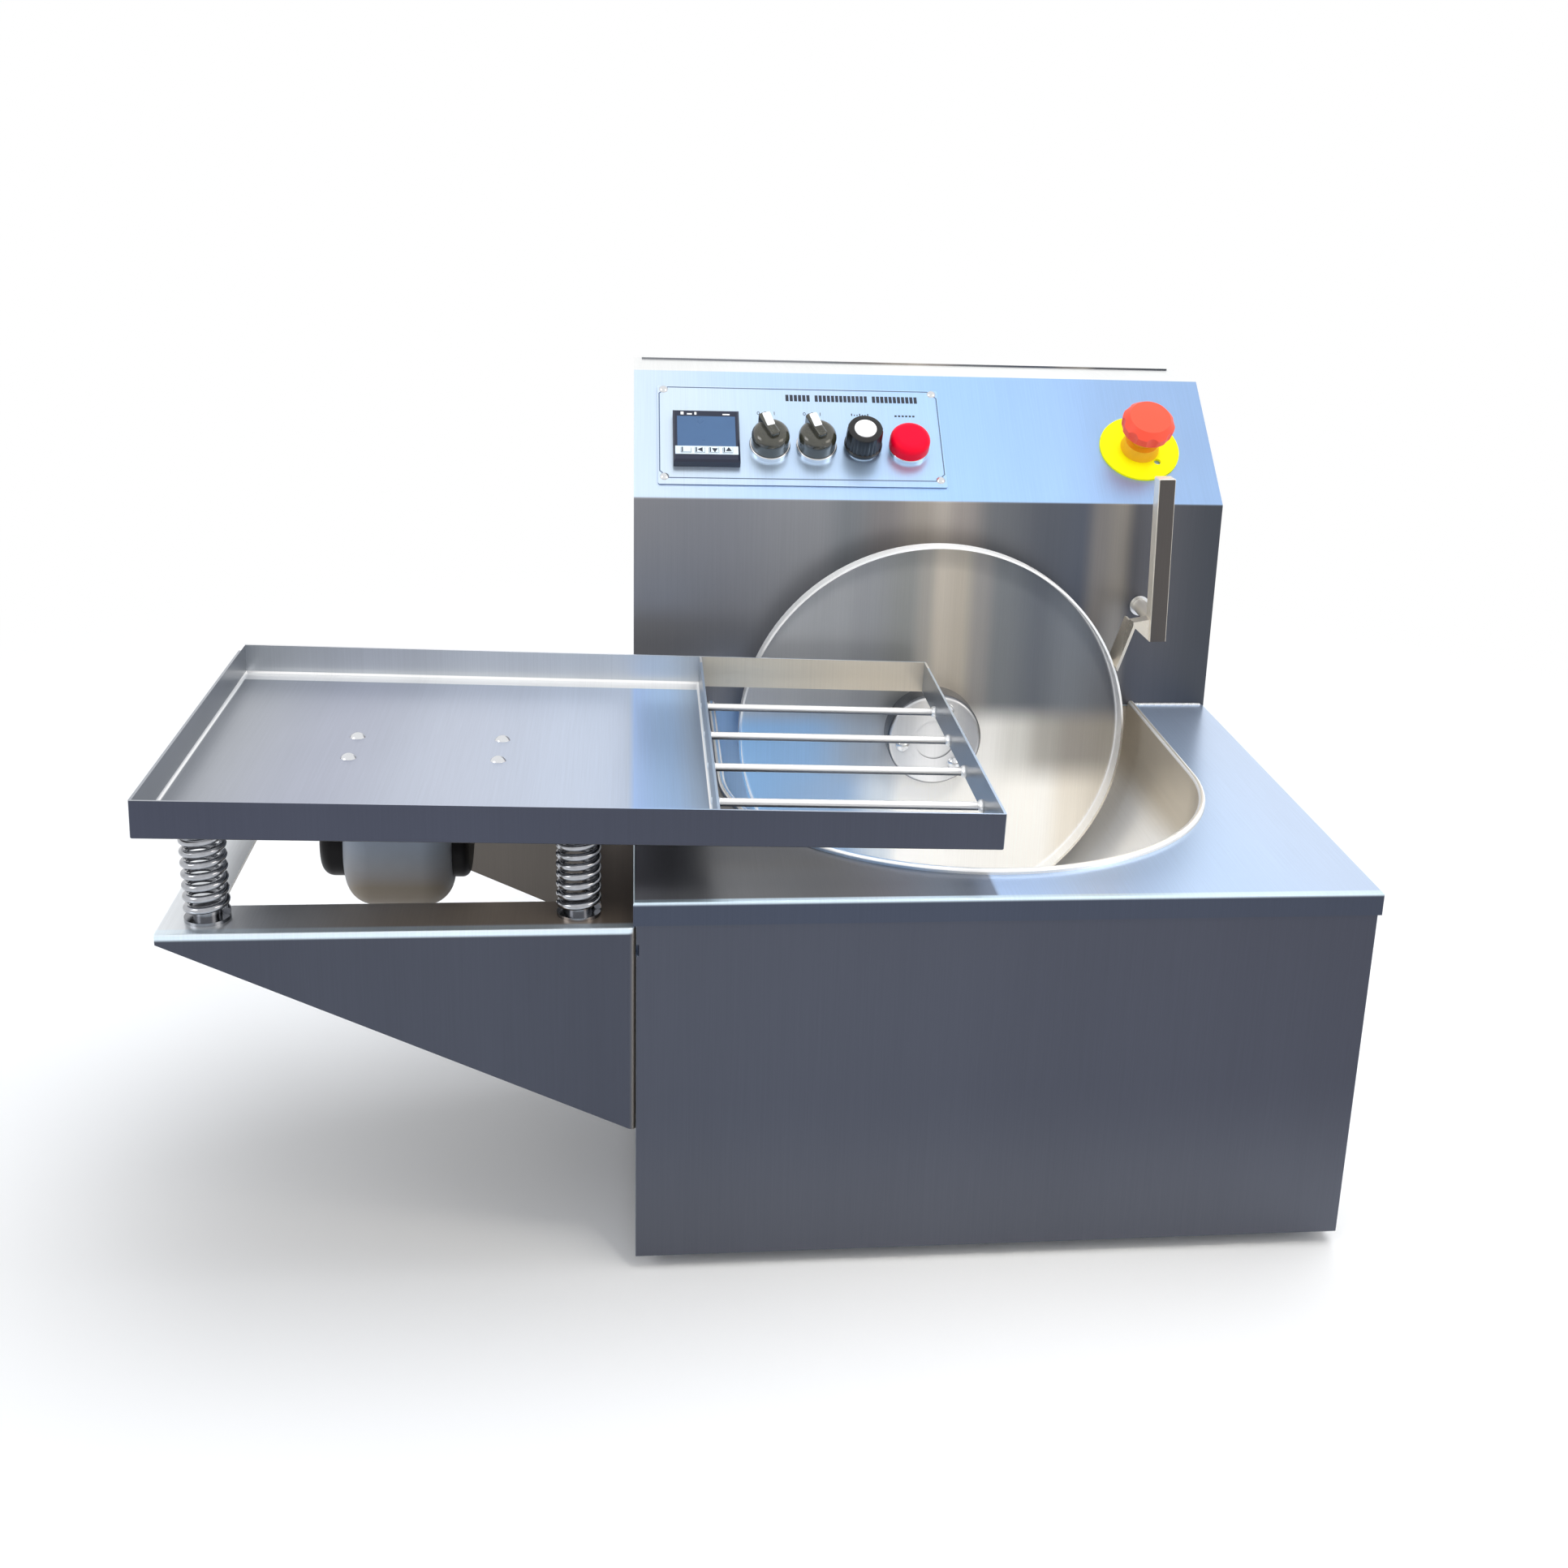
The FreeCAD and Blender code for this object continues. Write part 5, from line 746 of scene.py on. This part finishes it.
PLATE_FACE = reach("control_plate", SLOPE_NORMAL)
PLATE_LEFT = -reach("control_plate", -SLOPE_X)
PLATE_RIGHT = reach("control_plate", SLOPE_X)
PLATE_LOW = -reach("control_plate", -SLOPE_UP)
PLATE_TOP = reach("control_plate", SLOPE_UP)
KNOB_ROW = Vector(joint_of["heating_turn"]["pos_m"]).dot(SLOPE_UP)
print("control plate", round((PLATE_RIGHT - PLATE_LEFT) / MM, 1), "by",
      round((PLATE_TOP - PLATE_LOW) / MM, 1), "mm")

# %% [markdown]
# ## Drawing flat and standing it up
# Everything printed or inlaid on the slope starts as flat faces in the XY plane, where X and Y
# are the slope's own directions. They are raised by the thickness of the ink, the lacquer or the
# sheet, and then stood on the face that carries them.

# %% Flat marks
LACQUER = 0.06 * MM


def flat_rectangle(bm, x0, x1, y0, y1):
    """One face in the XY plane."""
    made = bmesh.ops.create_grid(bm, x_segments=1, y_segments=1, size=0.5)["verts"]
    bmesh.ops.scale(bm, vec=(x1 - x0, y1 - y0, 1), verts=made)
    bmesh.ops.translate(bm, vec=((x0 + x1) / 2, (y0 + y1) / 2, 0), verts=made)


def thicken(bm, depth):
    """Raise every flat face of a bmesh into a slab of that depth, bottom included."""
    raised = bmesh.ops.extrude_face_region(bm, geom=bm.faces[:], use_keep_orig=True)
    moved = [g for g in raised["geom"] if isinstance(g, bmesh.types.BMVert)]
    bmesh.ops.translate(bm, vec=(0, 0, depth), verts=moved)
    bmesh.ops.recalc_face_normals(bm, faces=bm.faces)


def stamp(bm, name, material, out, body="frame", depth=LACQUER):
    """Raise flat faces by a depth and stand them on the slope's face that lies out that far."""
    thicken(bm, depth)
    bm.transform(standing(SLOPE_NORMAL * out, SLOPE_X, SLOPE_UP))
    finish_piece(bm, name, material, body)


print("ink and lacquer", round(LACQUER / MM, 2), "mm thick")

# %% [markdown]
# ## Border of the control plate
# A thin line with cut corners is engraved round the plate and filled with dark lacquer. It could
# be a groove, but at this size its colour matters and its depth doesn't. So a rectangle gets its
# corners bevelled, a narrow band is inset along its edge, and the middle is deleted.

# %% Plate border
BORDER_SIDE = 0.9 * MM
BORDER_BELOW = 5.4 * MM
BORDER_ABOVE = 1.0 * MM
BORDER_CORNER = 6.5 * MM
BORDER_LINE = 0.9 * MM

bm = bmesh.new()
flat_rectangle(bm, PLATE_LEFT + BORDER_SIDE, PLATE_RIGHT - BORDER_SIDE,
               PLATE_LOW + BORDER_BELOW, PLATE_TOP - BORDER_ABOVE)
bmesh.ops.bevel(bm, geom=bm.verts[:], offset=BORDER_CORNER, affect="VERTICES", segments=1, profile=0.5,
                material=-1)
band = bmesh.ops.inset_region(bm, faces=bm.faces[:], thickness=BORDER_LINE, use_boundary=True)["faces"]
bmesh.ops.delete(bm, geom=[f for f in bm.faces if f not in band], context="FACES")
stamp(bm, "plate_border", border_lacquer, PLATE_FACE)
print("border", round((PLATE_RIGHT - PLATE_LEFT - 2 * BORDER_SIDE) / MM, 1), "mm wide")

# %% [markdown]
# ## Printed marks
# The plate carries one bold header line and a small legend over each control. They are kept
# plain here: the header is three groups of upright bars, the two selectors have three short bars
# each, the speed knob has a small scale and the lamp a longer row.

# %% Header bars
HEADER_TOP = PLATE_TOP - 6.8 * MM
HEADER_LOW = PLATE_TOP - 13.0 * MM
HEADER_GAP = 0.8 * MM
HEADER_GROUPS = ((94.5, 112.5, 6), (116.3, 155.4, 13), (159.2, 193.0, 11))


def bars(bm, x0, x1, y0, y1, count, gap):
    """Row of equal upright bars between x0 and x1."""
    pitch = (x1 - x0 + gap) / count
    for index in range(count):
        flat_rectangle(bm, x0 + index * pitch, x0 + (index + 1) * pitch - gap, y0, y1)


bm = bmesh.new()
for start, end, count in HEADER_GROUPS:
    bars(bm, PLATE_LEFT + start * MM, PLATE_LEFT + end * MM, HEADER_LOW, HEADER_TOP, count, HEADER_GAP)
stamp(bm, "plate_header", print_ink, PLATE_FACE)
print("header of", sum(count for _, _, count in HEADER_GROUPS), "bars")

# %% Legends over the controls
SELECTORS = ("heating", "vibration")
LEGEND = KNOB_ROW + 31.2 * MM
SCALE_MARKS = 7
SCALE_PITCH = 2.0 * MM
SCALE_LINE = 0.8 * MM
SCALE_FOOT = LEGEND - 0.8 * MM
SHORT_MARK = LEGEND + 0.4 * MM
LONG_MARK = LEGEND + 1.4 * MM


def legend(bm, node, start, end, low, high, count, gap):
    """Row of bars over a control, in mm from its middle and from the line of the legends."""
    middle = middle_x(node)
    bars(bm, middle + start * MM, middle + end * MM, LEGEND + low * MM, LEGEND + high * MM, count, gap * MM)


bm = bmesh.new()
for kind in SELECTORS:
    legend(bm, kind + "_knob", start=-4.4, end=1.8, low=-0.8, high=0.8, count=3, gap=0.9)
for index in range(SCALE_MARKS):
    x = middle_x("speed_knob") + (index - SCALE_MARKS // 2) * SCALE_PITCH
    top = LONG_MARK if index % 3 == 0 else SHORT_MARK
    flat_rectangle(bm, x - SCALE_LINE / 2, x + SCALE_LINE / 2, SCALE_FOOT, top)
legend(bm, "power_lamp_lens", start=-8, end=7, low=-1.1, high=0.5, count=6, gap=1.0)
stamp(bm, "plate_legends", print_ink, PLATE_FACE)
print("legends", round(LEGEND / MM - KNOB_ROW / MM, 1), "mm above the knobs' axes")

# %% [markdown]
# ## Numerals
# Each selector is marked 0 and 1. A numeral is easiest to write as text with a slight thickness,
# which is turned into a mesh and welded before it is stood on the plate.

# %% Numerals
NUMERAL_HEIGHT = 3.2 * MM
ZERO_X = -7.2 * MM
ONE_X = 4.6 * MM
DIGIT_SHARE = 0.7     # a digit's height as a share of its type size


def numeral(text, x, name):
    """A printed numeral on the plate, centred at x in the row of legends."""
    curve = bpy.data.curves.new(name, "FONT")
    curve.body = text
    curve.size = NUMERAL_HEIGHT / DIGIT_SHARE
    curve.align_x = "CENTER"
    curve.align_y = "CENTER"
    curve.extrude = LACQUER / 2
    curve.resolution_u = 3
    letter = bpy.data.objects.new(name, curve)
    bpy.context.scene.collection.objects.link(letter)
    bpy.context.view_layer.update()
    mesh = bpy.data.meshes.new_from_object(letter)
    bpy.data.objects.remove(letter)
    bm = bmesh.new()
    bm.from_mesh(mesh)
    bmesh.ops.remove_doubles(bm, verts=bm.verts, dist=0.0001 * MM)
    bm.transform(standing(on_slope(x, LEGEND, PLATE_FACE + LACQUER / 2), SLOPE_X, SLOPE_UP))
    finish_piece(bm, name, print_ink, "frame")


for node in (kind + "_knob" for kind in SELECTORS):
    numeral("0", middle_x(node) + ZERO_X, node + "_zero")
    numeral("1", middle_x(node) + ONE_X, node + "_one")
print("numerals 0 and 1 over the two selectors")

# %% [markdown]
# ## Pointers of the selectors
# A selector's grip carries a white bar that points at the setting. The bar is a rectangle with
# rounded corners, thickened and bevelled so that its edge catches light. Its direction is read
# from the grip, whose top face reaches further towards the pointing end.

# %% Pointer bars
POINTER_WIDTH = 5.8 * MM
POINTER_START = 0.5 * MM
POINTER_END = 12.6 * MM
POINTER_DEPTH = 0.7 * MM
POINTER_CORNER = 0.8 * MM
POINTER_EDGE = 0.25 * MM
POINTER_SUNK = 0.15 * MM
CROWN = 0.05 * MM     # how near the grip's top a point counts as part of it


def soft_slab(bm, depth, edge, segments):
    """Thicken flat faces and round their upper edges."""
    thicken(bm, depth)
    upper = [e for e in bm.edges if all(v.co.z > depth / 2 for v in e.verts)]
    bmesh.ops.bevel(bm, geom=upper, offset=edge, affect="EDGES", segments=segments, profile=0.5, material=-1)


def flattened(vector):
    """The part of a vector that lies in the slope."""
    return vector - SLOPE_NORMAL * vector.dot(SLOPE_NORMAL)


for kind in SELECTORS:
    node = kind + "_knob"
    axis = Vector(joint_of[kind + "_turn"]["pos_m"])
    top = reach(node, SLOPE_NORMAL)
    crown = [flattened(v.co - axis) for v in frame["nodes"][node].data.vertices
             if v.co.dot(SLOPE_NORMAL) > top - CROWN]
    way = max(crown, key=lambda v: v.dot(SLOPE_UP)).normalized()
    bm = bmesh.new()
    flat_rectangle(bm, -POINTER_WIDTH / 2, POINTER_WIDTH / 2, POINTER_START, POINTER_END)
    bmesh.ops.bevel(bm, geom=bm.verts[:], offset=POINTER_CORNER, affect="VERTICES", segments=3,
                    profile=0.5, material=-1)
    soft_slab(bm, POINTER_DEPTH, POINTER_EDGE, segments=2)
    foot = flattened(axis) + SLOPE_NORMAL * (top - POINTER_SUNK)
    bm.transform(standing(foot, way.cross(SLOPE_NORMAL), way))
    finish_piece(bm, node + "_pointer", white_insert, kind + "_selector")
    print(node, "points", round(math.degrees(way.angle(SLOPE_UP)), 1), "degrees from straight up")

# %% [markdown]
# ## Speed knob
# The speed knob is a ribbed black moulding, as wide as its neighbours and straight from its foot
# to its top. Its outline is one circle that is extruded ring by ring, and each ring is given
# its radius. The ribs come last: every third point of the wall is drawn in a little.

# %% Speed knob
RIBS = 24
RIB_FOOT = 3.0 * MM
RIB_HEAD = 18.0 * MM
RIB_DRAWN_IN = 0.955
KNOB_RINGS = [(13.6, 0.0), (13.9, 0.4), (13.9, 2.6), (13.3, 3.2), (13.2, 10.0), (13.0, 17.4),
              (12.4, 18.7), (11.6, 19.0), (8.5, 19.0), (8.3, 18.5)]    # radius and height in mm
knob_height = max(height for _, height in KNOB_RINGS) * MM
speed_axis = Vector(joint_of["speed_turn"]["pos_m"])
speed_top = reach("speed_knob", SLOPE_NORMAL) - speed_axis.dot(SLOPE_NORMAL)

bm = bmesh.new()
radius, height = KNOB_RINGS[0]
bmesh.ops.create_circle(bm, cap_ends=False, segments=3 * RIBS, radius=radius * MM)
edges = bm.edges[:]
bmesh.ops.contextual_create(bm, geom=edges)
for next_radius, next_height in KNOB_RINGS[1:]:
    made = bmesh.ops.extrude_edge_only(bm, edges=edges)["geom"]
    ring = [g for g in made if isinstance(g, bmesh.types.BMVert)]
    edges = [g for g in made if isinstance(g, bmesh.types.BMEdge) and all(v in ring for v in g.verts)]
    share = next_radius / radius
    bmesh.ops.scale(bm, vec=(share, share, 1), verts=ring)
    bmesh.ops.translate(bm, vec=(0, 0, (next_height - height) * MM), verts=ring)
    radius, height = next_radius, next_height
bmesh.ops.contextual_create(bm, geom=edges)
for v in bm.verts:
    turn = round(math.atan2(v.co.y, v.co.x) / (2 * math.pi) * 3 * RIBS)
    if RIB_FOOT < v.co.z < RIB_HEAD and turn % 3 == 0:
        v.co.x *= RIB_DRAWN_IN
        v.co.y *= RIB_DRAWN_IN
bmesh.ops.recalc_face_normals(bm, faces=bm.faces)
bm.transform(standing(speed_axis + SLOPE_NORMAL * (speed_top - knob_height), SLOPE_X, SLOPE_UP))
ribbed_knob = finish_piece(bm, "speed_knob_ribbed", black_moulding, "speed_dial")
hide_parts("speed_knob")
print("speed knob with", RIBS, "ribs")

# %% [markdown]
# ## Cap of the speed knob
# A flat white cap is pressed into the knob's top. It is a thickened round with a bevelled edge,
# sunk a little below the knob's rim.

# %% Speed knob's cap
CAP_RADIUS = 8.1 * MM
CAP_DEPTH = 1.0 * MM
CAP_EDGE = 0.5 * MM
CAP_SUNK = 0.45 * MM
bm = bmesh.new()
bmesh.ops.create_circle(bm, cap_ends=True, segments=48, radius=CAP_RADIUS)
soft_slab(bm, CAP_DEPTH, CAP_EDGE, segments=3)
bm.transform(standing(speed_axis + SLOPE_NORMAL * (speed_top - CAP_SUNK), SLOPE_X, SLOPE_UP))
finish_piece(bm, "speed_knob_cap", white_insert, "speed_dial")
print("cap of", round(2 * CAP_RADIUS / MM, 1), "mm")

# %% [markdown]
# ## Face of the controller
# Below its window the controller has a white strip with four keys. The strip is a rectangle cut
# along the keys' edges; the faces over the keys are deleted, so that the keys stand free in their
# openings, and the rest is thickened.

# %% White key strip
STRIP_SIDE = 1.4 * MM
STRIP_BELOW_KEYS = 1.2 * MM
STRIP_BELOW_WINDOW = 0.3 * MM
STRIP_DEPTH = 0.35 * MM
KEY_PLAY = 0.2 * MM
CASE_FACE = reach("controller", SLOPE_NORMAL)
case_left, case_right = -reach("controller", -SLOPE_X), reach("controller", SLOPE_X)
window_low = -reach("display_window", -SLOPE_UP)
window_top = reach("display_window", SLOPE_UP)
key_low = -reach(keys[0], -SLOPE_UP) - KEY_PLAY
key_top = reach(keys[0], SLOPE_UP) + KEY_PLAY

bm = bmesh.new()
flat_rectangle(bm, case_left + STRIP_SIDE, case_right - STRIP_SIDE, key_low - STRIP_BELOW_KEYS,
               window_low - STRIP_BELOW_WINDOW)
cuts = [((0, up, 0), (0, 1, 0)) for up in (key_low, key_top)]
for key in keys:
    low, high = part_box(key)
    cuts += [((low.x - KEY_PLAY, 0, 0), (1, 0, 0)), ((high.x + KEY_PLAY, 0, 0), (1, 0, 0))]
for point, normal in cuts:
    bmesh.ops.bisect_plane(bm, geom=bm.verts[:] + bm.edges[:] + bm.faces[:], plane_co=point, plane_no=normal)


def over_key(face):
    centre = face.calc_center_median()
    inside = any(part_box(k)[0].x < centre.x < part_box(k)[1].x for k in keys)
    return inside and key_low < centre.y < key_top


bmesh.ops.delete(bm, geom=[f for f in bm.faces if over_key(f)], context="FACES")
stamp(bm, "key_strip", white_key, CASE_FACE, depth=STRIP_DEPTH)
print("key strip with", len(keys), "openings")

# %% [markdown]
# ## Key symbols and indicators
# The first key carries a ring and a bar, and the others an arrow and a bar, as on any set of
# plain control keys. Each symbol rides on its own key. Above the window stand a few small
# indicator marks.

# %% Key symbols
RING_RADIUS = 2.2 * MM
ARROW_RADIUS = 2.5 * MM
SYMBOL_LINE = 0.9 * MM
SYMBOL_SHIFT = 0.7 * MM
BAR_LEFT = -3.7 * MM
BAR_HALF = 2.1 * MM
ARROW_TURNS = (90, 180, 0)

for index, key in enumerate(keys):
    bm = bmesh.new()
    if index == 0:
        bmesh.ops.create_circle(bm, cap_ends=True, segments=24, radius=RING_RADIUS)
        ring = bmesh.ops.inset_region(bm, faces=bm.faces[:], thickness=SYMBOL_LINE)["faces"]
        bmesh.ops.delete(bm, geom=[f for f in bm.faces if f not in ring], context="FACES")
    else:
        bmesh.ops.create_circle(bm, cap_ends=True, segments=3, radius=ARROW_RADIUS)
        turn = Matrix.Rotation(math.radians(ARROW_TURNS[index - 1]), 3, "Z")
        bmesh.ops.rotate(bm, verts=bm.verts, matrix=turn)
    flat_rectangle(bm, BAR_LEFT, BAR_LEFT + SYMBOL_LINE, -BAR_HALF, BAR_HALF)
    bmesh.ops.translate(bm, vec=(middle_x(key) + SYMBOL_SHIFT, (key_low + key_top) / 2, 0), verts=bm.verts)
    stamp(bm, key + "_symbol", print_ink, reach(key, SLOPE_NORMAL),
          body="key_%d" % (index + 1))
print("symbols on", len(keys), "keys")

# %% Indicators over the window
INDICATOR_RISE = 1.3 * MM
# Each is its distance from the case's left side, its width and its height, in mm.
INDICATORS = ((5.6, 2.2, 2.6), (10.2, 3.6, 1.3), (15.6, 1.5, 2.4), (36.0, 5.2, 1.1))
indicator_low = window_top + INDICATOR_RISE
bm = bmesh.new()
for x, width, height in INDICATORS:
    flat_rectangle(bm, case_left + x * MM, case_left + (x + width) * MM, indicator_low,
                   indicator_low + height * MM)
stamp(bm, "controller_indicators", white_insert, CASE_FACE)
print(len(INDICATORS), "indicators over the window")

# %% [markdown]
# ## Welds of the grid
# The grid's rods are held by a drop of weld at each end. A drop is a small ball pressed flat, and
# it hides the plain end of the rod, as it does on the real table.

# %% Rod welds
ROD_COUNT = 4
DROP = (6.0 * MM, 10.0 * MM, 8.0 * MM)
DROP_INSET = 0.6 * MM
DROP_BACK = 0.4 * MM
WELD_SMOOTH = 80


def puddle(bm, centre, size):
    """One drop of weld metal at centre, with its three diameters."""
    made = bmesh.ops.create_icosphere(bm, subdivisions=2, radius=0.5)["verts"]
    bmesh.ops.scale(bm, vec=size, verts=made)
    bmesh.ops.translate(bm, vec=centre, verts=made)


tray_low, tray_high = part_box("tray_pan")
rod_up = (reach("tray_grid_rods", TABLE_UP) - reach("tray_grid_rods", -TABLE_UP)) / 2
rod_left, rod_right = -reach("tray_grid_rods", -TABLE_X), reach("tray_grid_rods", TABLE_X)
bm = bmesh.new()
for index in range(ROD_COUNT):
    y = tray_low.y + (tray_high.y - tray_low.y) * (index + 1) / (ROD_COUNT + 1)
    for along in (rod_left + DROP_INSET, rod_right - DROP_INSET):
        puddle(bm, on_table(along, y + DROP_BACK, rod_up), DROP)
finish_piece(bm, "rod_welds", weld_bead, "table", WELD_SMOOTH)
print("rod welds:", 2 * ROD_COUNT)

# %% [markdown]
# ## Bead at the hood's foot
# The foot of the hood is joined to the deck by a short hand-laid bead beside the bowl. A bead is
# a row of overlapping puddles, and a slight sway from side to side makes it look laid by hand.

# %% Bead at the hood's foot
PUDDLE = (3.4 * MM, 3.2 * MM, 2.6 * MM)
PUDDLE_PITCH = 1.7 * MM
SWAY = 0.25 * MM
SWAY_STEP = 1.9       # radians of the sway from one puddle to the next
bead_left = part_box("bowl")[1].x + 1 * MM
bead_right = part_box("deck")[1].x - 2 * MM
bead_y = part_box("hood_skin")[0].y - 0.5 * MM
bead_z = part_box("deck")[1].z + 0.3 * MM
count = int((bead_right - bead_left) / PUDDLE_PITCH)
bm = bmesh.new()
for index in range(count):
    sway = SWAY * math.sin(index * SWAY_STEP)
    puddle(bm, (bead_left + index * PUDDLE_PITCH, bead_y + sway, bead_z), PUDDLE)
finish_piece(bm, "hood_foot_bead", weld_bead, "frame", WELD_SMOOTH)
print("bead of", count, "puddles")
